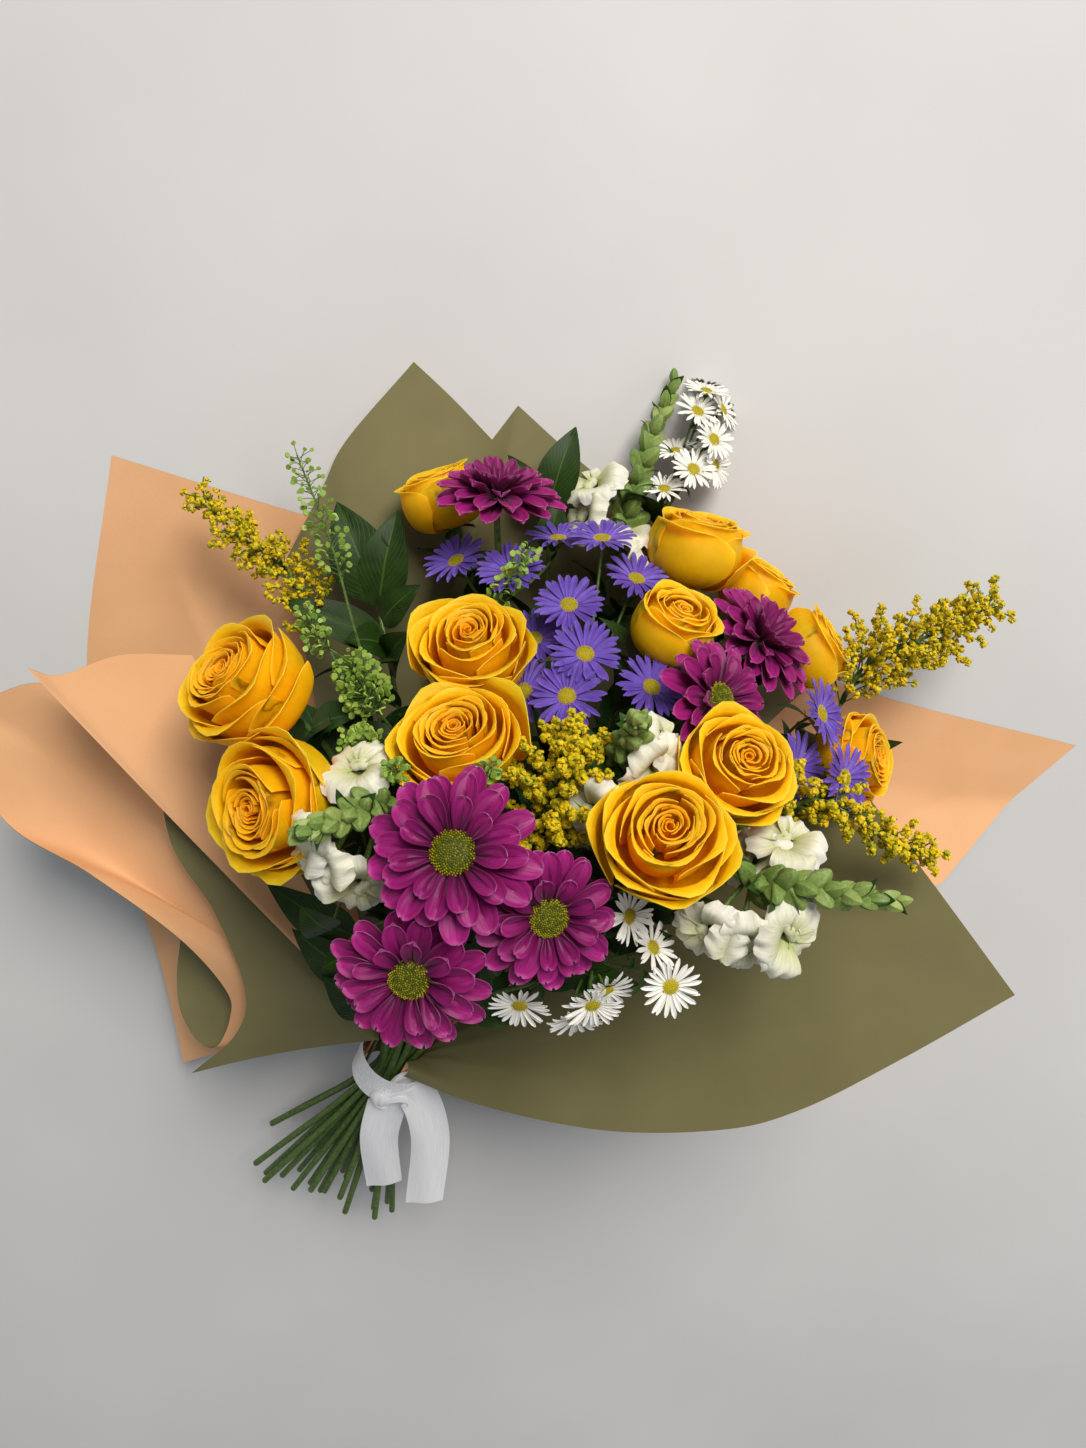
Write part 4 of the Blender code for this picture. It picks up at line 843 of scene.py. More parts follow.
def mumBloom(name):
    x, y, depth, lean, toward, diameter, spin = mums[name]
    forward = facing(lean, toward)
    radius = diameter * mm / 2
    base = spot((x, y, depth)) - forward * 0.2 * radius
    matrix = frameAt(base, forward, spin)
    petals = []
    for count, turn, footRadius, reach, half, foot, rise, droop, cup, tint in mumRings:
        for index in range(count):
            angle = 2 * math.pi * (index + turn + rng.uniform(-0.12, 0.12)) / count
            lift = rng.uniform(-0.05, 0.05)
            petal = mumPetal(footRadius, reach * rng.uniform(0.86, 1.04), half * rng.uniform(0.84, 1.06),
                             foot, rise + lift, droop, cup, radius,
                             max(0.0, tint + rng.uniform(-0.05, 0.15)))
            petals.append(copied(petal, matrix @ Matrix.Rotation(angle, 4, "Z")))
    if name not in openMums:  # these are seen from the side, their middles still shut by short petals
        for index in range(shutMiddle["petals"]):
            petal = mumPetal(0.04, 0.40, 0.09, 0.16, 0.46, 0.04, 0.8, radius, 0.5)
            petals.append(copied(petal, matrix @ Matrix.Rotation(index * shutMiddle["turn"], 4, "Z")))
    newPiece(name + "_petals", petals, "mum_petal", name + "_bloom", thickness=mumThickness)
    if name in openMums:
        c = mumCentre
        florets = discOf(c["florets"], c["radius"] * radius, c["dome"] * radius, c["floret"] * mm,
                         c["height"] * radius, mumDiscSkin, 0.45, 0.0)
        newPiece(name + "_florets", [copied(m, matrix) for m in florets], "mum_disc", name + "_disc")
    return base, forward


mumBases = {name: mumBloom(name) for name in mums}
mumBranches = {
    "mum_stems_1": (("mum_1", "mum_2", "mum_3"), (-84.7, -14.9, 181.3)),
    "mum_stems_2": (("mum_4", "mum_5", "mum_6"), (-30.1, 44.8, 99.4)),
}
mumGreen = {"branch": 1.9, "cup": 0.085, "leaves": 6, "leafLength": 30, "leafWidth": 13}
mumCup = ball(14, 8, stemSkin)
for stemName, (members, forkPlace) in mumBranches.items():
    pieces = [stemTube(stemName)]
    fork = Vector(forkPlace) * mm
    for member in members:
        base, forward = mumBases[member]
        knots = [fork, fork.lerp(base, 0.5), base - forward * 25 * mm, base]
        branch = tapered(bezier, knots, 10, mumGreen["branch"], mumGreen["branch"])
        pieces.append(tubes([branch], 2, stemSkin))
        size = mums[member][5] * mm * mumGreen["cup"]
        pieces.append(copied(mumCup, frameAt(base + forward * size * 0.4, forward,
                                             size=(size, size, size * 0.55))))
        for index in range(mumGreen["leaves"]):  # they point back from the bloom
            start = bezier(knots, 0.25 + 0.1 * index)
            out = aside(start, forward, index * goldenAngle + 40, rng.uniform(-0.8, 0.0))
            pieces.append(leafMesh(start, start + out * mumGreen["leafLength"] * mm,
                                   mumGreen["leafWidth"] * mm, forward, rng.uniform(0, 0.5), roseLeafSkin,
                                   wave=0.08))
    newPiece(stemName + "_green", pieces, "stem_green", stemName)
print("chrysanthemums done")

# Asters and small white daisies
# Each head: picture x, picture y, depth, lean from the line of sight, direction of the lean
asters = {
    "aster_spray_1": {
        "heads": [(457, 562, -124, 45, 120), (511, 572, -103, 40, 100), (569, 606, -92, 32, 90),
                  (534, 640, -104, 35, 100), (558, 540, -136, 60, 90)],
    },
    "aster_spray_2": {
        "heads": [(585, 655, -72, 28, 80), (567, 697, -62, 20, 100), (524, 692, -84, 30, 110),
                  (602, 540, -112, 55, 90), (636, 580, -122, 45, 70)],
    },
    "aster_spray_3": {
        "heads": [(651, 688, -80, 30, 60), (820, 714, -94, 50, 20), (843, 778, -80, 40, 10),
                  (796, 768, -92, 35, 20)],
    },
}
daisies = {
    "daisy_spray_1": {
        "heads": [(697, 412, -158, 34, 60), (713, 440, -157, 34, 20), (693, 470, -154, 22, 60),
                  (664, 490, -157, 45, 90), (722, 410, -166, 58, 20),
                  (706, 392, -164, 52, 80), (714, 466, -163, 52, 350), (676, 452, -167, 50, 100)],
        "diameter": 29.0,
    },
    "daisy_spray_2": {
        "heads": [(670, 986, -22, 15, 300), (592, 1004, -30, 40, 280), (520, 1004, -34, 40, 260),
                  (628, 916, -34, 40, 0),
                  (575, 1018, -44, 55, 280), (606, 990, -46, 45, 300), (652, 948, -40, 50, 30)],
        "diameter": 30.0,
    },
}
asterHead = {"diameter": 39.0, "rays": 26, "ring": 2, "halfWidth": 0.088, "disc": 0.27, "florets": 130,
             "floret": 0.42, "twig": 0.8, "skin": asterRaySkin, "slot": "aster_ray"}
daisyHead = {"rays": 22, "ring": 2, "halfWidth": 0.082, "disc": 0.31, "florets": 70, "floret": 0.36,
             "twig": 0.7, "skin": daisyRaySkin, "slot": "daisy_ray"}
sprayGreen = {"scales": 9, "leaves": 3, "leafLength": (9, 17), "leafWidth": 3.2}
rayThickness = 0.22
headCup = ball(12, 6, stemSkin)


def headRay(radius, halfWidth, reach, rise, tint, material):
    seed = rng.uniform(0, 90)
    bend = rng.uniform(-0.06, 0.06)

    def place(u, v):
        t = 2 * u - 1
        wide = levelAt([(0.0, 0.40), (0.3, 0.75), (0.65, 1.0), (0.85, 0.9), (0.95, 0.6), (1.0, 0.3)], v)
        out = 0.14 + (reach - 0.14) * v * (1 - 0.03 * t * t)
        tall = 0.12 + rise * v - 0.14 * v * v + 0.5 * halfWidth * t * t
        tall += 0.05 * noise.noise(Vector((seed, v * 2.0, 0))) * v
        return Vector((out * radius, (t * halfWidth * wide + bend * v * v) * radius, tall * radius))
    return shaped(rayGrid, place, tint, material)


def smallHead(radius, style, matrix):
    # the rays and the disc of one aster or daisy
    rays = []
    for index in range(style["rays"]):
        ring = index % style["ring"]
        angle = 2 * math.pi * (index + rng.uniform(-0.25, 0.25)) / style["rays"]
        ray = headRay(radius, style["halfWidth"] * rng.uniform(0.85, 1.15),
                      rng.uniform(0.98, 1.12) - 0.06 * ring, 0.26 + 0.08 * ring + rng.uniform(-0.06, 0.08),
                      rng.uniform(0.0, 0.4), style["skin"])
        rays.append(copied(ray, matrix @ Matrix.Rotation(angle, 4, "Z")))
    disc = discOf(style["florets"], style["disc"] * radius, 0.10 * radius, style["floret"] * mm,
                  0.14 * radius, asterDiscSkin, 0.0, 0.45)
    return rays, [copied(m, matrix) for m in disc]


def sprayOf(name, data, style):
    radius = data.get("diameter", asterHead["diameter"]) * mm / 2
    rays, discs, paths, green = [], [], [], [stemTube(name)]
    fork = stemLines[name][0].lerp(stemLines[name][1], 0.1)
    for x, y, depth, lean, toward in data["heads"]:
        forward = facing(lean, toward)
        foot = spot((x, y, depth)) - forward * 0.12 * radius
        headRays, headDisc = smallHead(radius, style, frameAt(foot, forward, x * 7))
        rays += headRays
        discs += headDisc
        knots = [fork, foot - forward * 0.9 * radius, foot + forward * 0.05 * radius]
        paths.append(tapered(bezier, knots, 8, style["twig"] * 1.25, style["twig"]))
        green.append(copied(headCup, frameAt(foot + forward * 0.02 * radius, forward,
                                             size=(0.17 * radius, 0.17 * radius, 0.16 * radius))))
        for index in range(sprayGreen["scales"]):  # the green scales that hold the rays
            turn = (frameAt(foot, forward)
                    @ Matrix.Rotation(2 * math.pi * index / sprayGreen["scales"], 4, "Z"))
            green.append(leafMesh(turn @ Vector((0.10 * radius, 0, -0.02 * radius)),
                                  turn @ Vector((0.36 * radius, 0, 0.10 * radius)),
                                  0.10 * radius, forward, 0.7, roseLeafSkin))
        for index in range(sprayGreen["leaves"]):  # narrow leaves on each twig
            start = bezier(knots, 0.3 + 0.2 * index)
            out = aside(start, forward, index * goldenAngle + x, 0.7)
            green.append(leafMesh(start, start + out * rng.uniform(*sprayGreen["leafLength"]) * mm,
                                  sprayGreen["leafWidth"] * mm, forward, rng.uniform(0.2, 0.8), roseLeafSkin))
    green.append(tubes(paths, 1, stemSkin))
    newPiece(name + "_rays", rays, style["slot"], name, thickness=rayThickness)
    newPiece(name + "_discs", discs, "goldenrod_floret", name)
    newPiece(name + "_green", green, "stem_green", name)


for sprayName, data in (*asters.items(), *daisies.items()):
    sprayOf(sprayName, data, asterHead if sprayName in asters else daisyHead)
print("asters and daisies done")

# Snapdragons
snapdragons = {
    # sizes are the buds' at the foot and the tip of the spike, in mm
    "snapdragon_1": {
        "spine": [(610, 575, -172), (628, 510, -158), (650, 440, -156), (674, 382, -160)],
        "sizes": (10.0, 4.6),
        "florets": [(593, 484, -156, 34, 110), (584, 516, -152, 44, 170), (622, 532, -148, 50, 60),
                    (642, 552, -150, 50, 20)],
    },
    "snapdragon_2": {
        "spine": [(400, 800, -52), (372, 806, -18), (338, 820, 4), (303, 832, 14)], "sizes": (8.2, 5.4),
        "florets": [(358, 768, -32, 30, 110), (322, 864, -16, 30, 220), (358, 886, -24, 25, 270),
                    (306, 846, -24, 40, 190)],
    },
    "snapdragon_3": {
        "spine": [(612, 762, -75), (622, 752, -45), (632, 738, -20), (640, 722, -4)], "sizes": (8.6, 5.6),
        "florets": [(657, 766, -30, 35, 310), (592, 812, -30, 30, 200), (664, 742, -40, 45, 20)],
    },
    "snapdragon_4": {
        "spine": [(735, 880, -52), (775, 884, -24), (835, 892, -14), (896, 902, -12)], "sizes": (8.6, 5.0),
        "florets": [(786, 842, -38, 30, 80), (752, 858, -46, 35, 130), (708, 932, -26, 25, 230),
                    (744, 944, -24, 20, 270), (788, 938, -18, 22, 300)],
    },
}
budSpike = {"buds": 30, "from": 0.14}
floretShape = {"depth": 9.0, "radius": 19.0, "throat": 5.0, "thickness": 0.4,
               "stalk": (1.2, 1.3, 2.0, 2.8)}  # the stalk's radii from the spike to the floret
lobeGrid = baseGrid(14, 13)
throatGrid = baseGrid(20, 6)
# Lobes: direction in degrees, half width, length, lift, curl, all as parts of the reach
floretLobes = ((60, 0.62, 1.10, 0.62, 0.34), (120, 0.62, 1.14, 0.58, 0.30), (208, 0.52, 0.92, 0.16, 0.62),
               (270, 0.56, 1.02, 0.06, 0.82), (332, 0.52, 0.94, 0.18, 0.62))


def snapdragonFloret(matrix):
    # a short throat that opens in two broad upper lobes, three hanging lower ones and a folded palate
    reach, throat, depth = (floretShape[key] * mm for key in ("radius", "throat", "depth"))
    parts = []

    def funnel(u, v):
        angle = 2 * math.pi * u
        out = throat * (0.5 + 0.9 * v)
        return Vector((out * math.cos(angle), out * math.sin(angle), depth * (v * 1.2 - 0.25)))
    parts.append(taken(mended(joined("throat", [shaped(throatGrid, funnel, 0.0, whitePetalSkin)]))))
    for aim, half, length, lift, curl in floretLobes:
        seed = rng.uniform(0, 90)
        angle = math.radians(aim + rng.uniform(-8, 8))
        length *= rng.uniform(0.9, 1.08)

        def lobe(u, v):
            t = 2 * u - 1
            along = v * (1 - 0.36 * abs(t) ** 2.6 * eased(v, 0.35, 1.0))
            wide = 0.40 + 0.60 * math.sin(math.pi / 2 * min(1.0, v / 0.6))
            frill = eased(v, 0.5, 1.0)
            out = throat * 0.6 + (reach * length - throat * 0.6) * along
            side = t * half * reach * wide
            tall = depth * 0.75
            tall += reach * (lift * math.sin(math.pi * 0.72 * along) - curl * 0.6 * along ** 2.6)
            tall += 0.34 * reach * t * t * (0.55 - v)
            tall += 0.075 * reach * frill * math.sin(7.5 * t + seed)
            tall += 0.10 * reach * noise.noise(Vector((t * 1.1, v * 1.3, seed))) * v
            out += 0.045 * reach * frill * math.sin(11 * t + seed)
            return Vector((out, side, tall))
        parts.append(copied(shaped(lobeGrid, lobe, rng.uniform(0.0, 0.3), whitePetalSkin),
                            Matrix.Rotation(angle, 4, "Z")))

    def palate(u, v):
        angle = 2 * math.pi * u
        out = throat * 0.85 * math.sin(math.pi * 0.5 * (0.04 + 0.96 * v)) * (1 + 0.35 * math.cos(2 * angle))
        return Vector((out * math.cos(angle), out * math.sin(angle) - throat * 0.6,
                       depth * (1.12 - 0.4 * v * v)))
    parts.append(taken(mended(joined("palate", [shaped(throatGrid, palate, 0.3, whitePetalSkin)]))))
    return taken(thickened(joined("floret", [copied(part, matrix) for part in parts]),
                           floretShape["thickness"]))


def budMesh():
    # a plump pointed bud
    mesh = ball(20, 8, budSkin)
    for vert in mesh.vertices:
        x, y, z = vert.co
        pinch = (1.0 - 0.22 * eased(z, 0.0, 1.0)) * (1 - 0.13 * math.cos(5 * math.atan2(y, x)))
        vert.co = Vector((x * pinch * 0.66, y * pinch * 0.56, z * 1.10 + 0.8))
    return mesh


bud = budMesh()
for spikeName, data in snapdragons.items():
    spine = [spot(p) for p in data["spine"]]
    first, last = data["sizes"]
    white, green = [], [stemTube(spikeName), tubes([tapered(through, spine, 16, 2.0, 0.8)], 2, stemSkin)]
    for index in range(budSpike["buds"]):
        share = index / (budSpike["buds"] - 1)
        t = budSpike["from"] + (1 - budSpike["from"]) * share
        here = through(spine, t)
        along = (through(spine, min(t + 0.02, 1)) - through(spine, t - 0.02)).normalized()
        size = (first * (1 - share) + last * share) * mm
        size *= rng.uniform(0.85, 1.12)
        lean = Matrix.Rotation(math.radians(56 - 30 * share + rng.uniform(-8, 8)), 4, "Y")
        turn = frameAt(here, along, index * goldenAngle) @ lean
        green.append(copied(bud, turn @ Matrix.Diagonal((size, size, size, 1)),
                            0.15 + 0.5 * share * rng.random()))
        if index % 3 == 0:  # a small pointed bract under some of the buds
            out = (turn.to_3x3() @ Vector((0, 0, 1)) - along * 0.3).normalized()
            green.append(leafMesh(here, here + out * size * 2.4, size * 1.3, along, 1.0, roseLeafSkin))
    for x, y, depth, lean, toward in data["florets"]:
        forward = facing(lean, toward)
        foot = spot((x, y, depth)) - forward * floretShape["depth"] * mm
        white.append(snapdragonFloret(frameAt(foot, forward, rng.uniform(-10, 50))))
        near = min((through(spine, i / 20) for i in range(16)), key=lambda p: (p - foot).length)
        stalk = (near, near.lerp(foot, 0.5), foot, foot + forward * 2.5 * mm)
        radii = (radius * mm for radius in floretShape["stalk"])
        green.append(tubes([list(zip(stalk, radii))], 2, budSkin))
    newPiece(spikeName + "_florets", white, "white_petal", spikeName)
    newPiece(spikeName + "_green", green, "stem_green", spikeName)
print("snapdragons done")

# Goldenrod: plumes of side shoots, each crowded with tiny yellow florets
goldenrods = {
    # name: (spine, reach of the shoots in mm, shoots, crowding)
    "goldenrod_1": ([(835, 715, -175), (872, 658, -165), (930, 636, -160), (994, 604, -158)], 50.0, 58, 1.0),
    "goldenrod_2": ([(330, 650, -150), (290, 575, -150), (245, 540, -148), (194, 493, -146)], 36.0, 46, 1.0),
    "goldenrod_3": ([(560, 850, -70), (552, 815, -45), (562, 775, -32), (580, 738, -28)], 46.0, 40, 1.7),
    "goldenrod_4": ([(760, 820, -95), (820, 800, -72), (880, 835, -64), (936, 855, -62)], 30.0, 38, 1.2),
}
goldenrodFloret = {"size": 1.6, "clumpStep": 4.4, "clump": 2.3, "stalk": 3.0, "perClump": 9, "atTip": 46,
                   "twig": 0.3}
goldenrodLeaves = {"count": 7, "length": 18, "width": 3.5}


def floretTuft():
    # a tiny flower head: a green-yellow cup whose rim stands out in short rays
    mesh = taken(added("cone", vertices=10, radius1=0.30, radius2=0.75, depth=1.3, end_fill_type="TRIFAN"))
    for vert in mesh.vertices:
        x, y, z = vert.co
        if z > 0.5 and math.hypot(x, y) > 0.4:  # every other rim point is pulled out to a ray
            ray = round(math.atan2(y, x) / (2 * math.pi) * 10) % 2
            out, lift = (1.55, 0.9) if ray else (0.75, 0.7)
            vert.co = Vector((x * out, y * out, z * lift))
        elif z > 0.5:
            vert.co.z = 0.95
    return tinted(mesh, 0.0, goldenrodSkin)


tuft = floretTuft()
for plumeName, (seen, reach, shoots, crowd) in goldenrods.items():
    spine = [spot(p) for p in seen]
    yellow, paths = [], [tapered(through, spine, 16, 1.3, 0.8)]
    for index in range(shoots):
        t = 0.05 + 0.93 * index / shoots
        start = through(spine, t)
        along = (through(spine, min(t + 0.02, 1)) - start).normalized()
        out = aside(start, along, index * goldenAngle + rng.uniform(-20, 20), 0.75)
        length = reach * (1.0 - 0.62 * t) * rng.uniform(0.7, 1.05) * mm
        end = start + out * length + along * 0.1 * length
        knots = [start, start.lerp(end, 0.5) + along * 0.20 * length, end]
        paths.append(tapered(bezier, knots, 5, 0.55, 0.35))
        clumps = max(2, int(length / mm / goldenrodFloret["clumpStep"]))
        for k in range(clumps):  # short twigs along the shoot, each ending in a round clump
            s = 0.16 + 0.84 * (k + rng.random() * 0.5) / clumps
            foot = bezier(knots, min(s, 1.0))
            sideways = aside(foot, out, k * goldenAngle + index * 40, 0.8)
            centre = foot + sideways * goldenrodFloret["stalk"] * mm * (1.25 - 0.8 * s)
            paths.append([(foot, goldenrodFloret["twig"] * mm), (centre, goldenrodFloret["twig"] * mm)])
            for _ in range(round(goldenrodFloret["perClump"] * crowd * rng.uniform(0.8, 1.25))):
                aim = Vector([rng.gauss(0, 1) for _ in range(3)]).normalized()
                size = goldenrodFloret["size"] * rng.uniform(0.7, 1.15) * mm * (1.12 - 0.3 * s)
                reachOut = goldenrodFloret["clump"] * mm * rng.uniform(0.45, 1.0) * (1.1 - 0.3 * s)
                place = centre + aim * reachOut
                matrix = frameAt(place, (aim + sideways * 0.4).normalized(), size=(size, size, size))
                yellow.append(copied(tuft, matrix, rng.random() ** 3))
    for k in range(goldenrodFloret["atTip"]):
        s = 0.72 + 0.28 * k / goldenrodFloret["atTip"]
        shift = Vector([rng.uniform(-1, 1) for _ in range(3)]) * 1.8 * mm * (1.9 - 1.6 * s)
        size = goldenrodFloret["size"] * rng.uniform(0.6, 1.0) * mm
        aim = (shift.normalized() + turned((0, 0.2, 0.6))).normalized()
        matrix = frameAt(through(spine, s) + shift, aim, size=(size, size, size))
        yellow.append(copied(tuft, matrix, rng.random() ** 3))
    green = [stemTube(plumeName), tubes(paths, 1, stemSkin)]
    for index in range(goldenrodLeaves["count"]):
        t = 0.05 + 0.10 * index
        start = through(spine, t)
        along = (through(spine, t + 0.02) - start).normalized()
        out = aside(start, along, index * goldenAngle + 60, 0.8)
        green.append(leafMesh(start, start + out * goldenrodLeaves["length"] * mm * (1.1 - t),
                              goldenrodLeaves["width"] * mm, along, 0.6, roseLeafSkin))
    newPiece(plumeName + "_florets", yellow, "goldenrod_floret", plumeName)
    newPiece(plumeName + "_green", green, "stem_green", plumeName)
print("goldenrod done")

# Pepper-grass: flat round pods, each on its own thin stalk
pepperGrass = {
    # name: one or more (spine, pods, shortest and longest stalk in mm)
    "pepper_grass_1": [
        ([(372, 690, -135), (352, 620, -118), (330, 540, -124), (297, 455, -134)], 96, (9.0, 16.0)),
        ([(372, 690, -135), (345, 660, -112), (318, 640, -108), (306, 612, -112)], 70, (5.0, 12.0)),
    ],
    "pepper_grass_2": [
        ([(400, 740, -110), (385, 720, -92), (370, 700, -82), (350, 665, -84)], 230, (8.0, 22.0)),
        ([(400, 740, -110), (388, 748, -70), (372, 748, -58), (352, 742, -62)], 150, (6.0, 17.0)),
        ([(400, 740, -110), (400, 765, -50), (398, 772, -24), (392, 768, -14)], 34, (4.0, 9.0)),
        ([(400, 740, -110), (440, 790, -60), (478, 780, -22), (492, 766, -10)], 46, (4.0, 9.0)),
        ([(400, 740, -110), (470, 640, -110), (505, 585, -92), (530, 548, -88)], 60, (4.0, 10.0)),
    ],
}
pepperPod = {"radius": 2.2, "flat": 0.55, "stalk": (0.28, 0.22)}


def podMesh():
    # a flat round pod with a raised rim and a small notch at its tip
    item = added("cylinder", vertices=12, radius=1.0, depth=0.5, end_fill_type="NGON")
    bpy.ops.object.mode_set(mode="EDIT")
    bpy.ops.mesh.select_all(action="DESELECT")
    bpy.ops.object.mode_set(mode="OBJECT")
    for polygon in item.data.polygons:
        polygon.select = abs(polygon.normal.z) > 0.5
    bpy.ops.object.mode_set(mode="EDIT")
    bpy.ops.mesh.inset(thickness=0.22)
    bpy.ops.transform.resize(value=(1, 1, 1.35))
    bpy.ops.mesh.inset(thickness=0.40)
    bpy.ops.object.mode_set(mode="OBJECT")
    mesh = taken(item)
    for vert in mesh.vertices:
        if vert.co.x > 0.93:
            vert.co.x = 0.80
    return tinted(mesh, 0.0, podSkin)


pod = podMesh()
lowRadius, topRadius = (radius * mm for radius in pepperPod["stalk"])
for sprigName, sprigs in pepperGrass.items():
    pods, paths = [], []
    for seen, count, reaches in sprigs:
        spine = [spot(p) for p in seen]
        paths.append(tapered(through, spine, 20, 1.0, 0.5))
        for index in range(count):
            t = 0.12 + 0.88 * index / count if len(paths) == 1 else 0.5 + 0.5 * index / count
            start = through(spine, t)
            along = (through(spine, min(t + 0.02, 1.0)) - through(spine, t - 0.02)).normalized()
            spin = index * goldenAngle + rng.uniform(-15, 15)
            reach = rng.uniform(*reaches) * mm * (1.0 - 0.45 * t)
            out = aside(start, along, spin, rng.uniform(0.2, 0.8))
            end = start + out * reach
            paths.append([(start, lowRadius), (start.lerp(end, 0.5) + along * 0.4 * mm, topRadius),
                          (end, topRadius)])
            size = pepperPod["radius"] * rng.uniform(0.7, 1.1) * mm * (1.15 - 0.4 * t)
            flat = turned((rng.uniform(-0.9, 0.9), rng.uniform(-0.9, 0.9), 1))  # the way its flat side looks
            flat = (flat - out * flat.dot(out)).normalized()
            turn = Matrix((out, flat.cross(out), flat)).transposed().to_4x4()
            pods.append(copied(pod, Matrix.Translation(end + out * size * 0.8) @ turn
                               @ Matrix.Diagonal((size, size, size * pepperPod["flat"], 1)), rng.random()))
    newPiece(sprigName + "_pods", pods, "pod_green", sprigName)
    newPiece(sprigName + "_green", [stemTube(sprigName), tubes(paths, 1, stemSkin)], "stem_green", sprigName)
print("pepper-grass done")

# Ruscus: the dark pointed leaves
ruscusThickness = 0.4
ruscus = {
    "ruscus_1": {
        "spine": [(395, 690, -160), (385, 640, -155), (375, 590, -160), (362, 545, -166)],
        "leaves": [(0.60, (337, 502, -150), 38), (0.55, (398, 510, -150), 31), (0.30, (281, 600, -140), 24),
                   (0.15, (408, 632, -120), 26), (0.30, (345, 640, -130), 24), (0.45, (420, 585, -140), 22)],
    },
    "ruscus_2": {
        "spine": [(545, 620, -168), (548, 560, -166), (548, 520, -166), (550, 490, -166)],
        "leaves": [(0.80, (576, 427, -160), 26), (0.70, (508, 455, -158), 18), (0.40, (560, 500, -160), 20)],
    },
}
for branchName, data in ruscus.items():
    spine = [spot(p) for p in data["spine"]]
    stems = [stemTube(branchName), tubes([tapered(through, spine, 12, 1.5, 1.0)], 2, stemSkin)]
    blades = [leafMesh(through(spine, place), spot(tip), width * mm, turned((0, 0.3, 1)), rng.uniform(0, 0.3),
                       ruscusSkin) for place, tip, width in data["leaves"]]
    blades = taken(thickened(joined("blades", blades), ruscusThickness))
    newPiece(branchName + "_sprig", stems + [blades], "leaf_green", branchName)
print("ruscus done")

# Filler leaves: high on every stem, so that the gaps between the blooms are dark green; they are partly the
# foliage of a full bouquet and partly a stand-in for the shade deep in those gaps
def seenAt(point):
    # the picture point and the depth at which a place shows
    x, y, depth = turnBack @ (point / mm - Vector(viewSettings["shift"]))
    scale = (viewSettings["eye"] - depth) / viewSettings["focal"]
    return viewSettings["centre"][0] + x / scale, viewSettings["centre"][1] - y / scale, depth


def crosses(start, tip):
    # true where a leaf would lie across the face of a bloom
    for share in (0.35, 0.6, 0.85, 1.0):
        x, y, depth = seenAt(start.lerp(tip, share))
        for bloomX, bloomY, bloomDepth, diameter in bloomFaces:
            reach = 0.55 * diameter * viewSettings["focal"] / (viewSettings["eye"] - bloomDepth)
            if depth > bloomDepth - 14 and math.hypot(x - bloomX, y - bloomY) < reach:
                return True
    return False


bloomFaces = [(*row[:3], row[5]) for row in (*roses.values(), *mums.values())]
for data in (*asters.values(), *daisies.values()):
    bloomFaces += [(*head[:3], data.get("diameter", asterHead["diameter"])) for head in data["heads"]]
turnBack = Matrix([turned((1, 0, 0)), turned((0, 1, 0)), turned((0, 0, 1))])
filler = {"leaves": 12, "top": 0.05, "step": 0.05, "length": (30.0, 50.0), "width": (15.0, 23.0),
          "inward": 0.6, "halfSpread": 90.0, "clearance": 10.0, "stalk": 0.8}
fillerExtra = (  # single leaves under the lower blooms: foot, tip, width in mm
    ((640, 900, -70), (716, 902, -28), 22), ((600, 930, -75), (672, 936, -44), 22),
    ((560, 965, -75), (640, 985, -46), 20), ((330, 930, -70), (300, 905, -40), 20),
    ((350, 950, -70), (322, 968, -46), 20), ((470, 1000, -60), (520, 1022, -44), 18),
    ((862, 748, -140), (903, 742, -122), 9), ((352, 935, -150), (266, 882, -120), 26),
    ((362, 978, -160), (292, 928, -130), 26), ((374, 1012, -170), (322, 975, -140), 24),
)
fillerBounds = ((565, 735), (320, 262))  # centre and half axes, in picture points, of the oval they stay in
middle = spot((560, 735, -110))
blades = []
for points in stemLines.values():
    for index in range(filler["leaves"]):
        t = filler["top"] + filler["step"] * index
        start = through(points, t)
        along = (through(points, t - 0.03) - start).normalized()
        out = aside(start, along, index * goldenAngle + rng.uniform(-30, 30), rng.uniform(0.35, 1.1))
        inward = middle - start
        inward = (inward - bundleAxis * inward.dot(bundleAxis)) / (filler["halfSpread"] * mm)
        out = (out + inward * filler["inward"]).normalized()  # leaves on outer stems turn inwards more
        tip = start + out * rng.uniform(*filler["length"]) * mm
        tip.z = max(tip.z, filler["clearance"] * mm)
        x, y, _ = seenAt(tip)
        (centreX, centreY), (halfX, halfY) = fillerBounds
        if ((x - centreX) / halfX) ** 2 + ((y - centreY) / halfY) ** 2 < 1 and not crosses(start, tip):
            blades.append(leafMesh(start, tip, rng.uniform(*filler["width"]) * mm, along,
                                   rng.uniform(0.0, 0.5), roseLeafSkin if index % 3 else ruscusSkin))
stemPlaces = [through(points, i / 30) for points in stemLines.values() for i in range(1, 19)]
stalks = []
for start, tip, width in fillerExtra:
    start = spot(start)
    foot = min(stemPlaces, key=lambda place: (place - start).length)
    knots = [foot, foot.lerp(start, 0.5) + bundleAxis * 4 * mm, start]
    stalks.append(tapered(bezier, knots, 6, filler["stalk"], filler["stalk"]))
    blades.append(leafMesh(start, spot(tip), width * mm, turned((0, 0, 1)), 0.1, ruscusSkin))
blades.append(tubes(stalks, 1, stemSkin))
newPiece("filler_leaves", blades, "leaf_green")
print("filler leaves done")

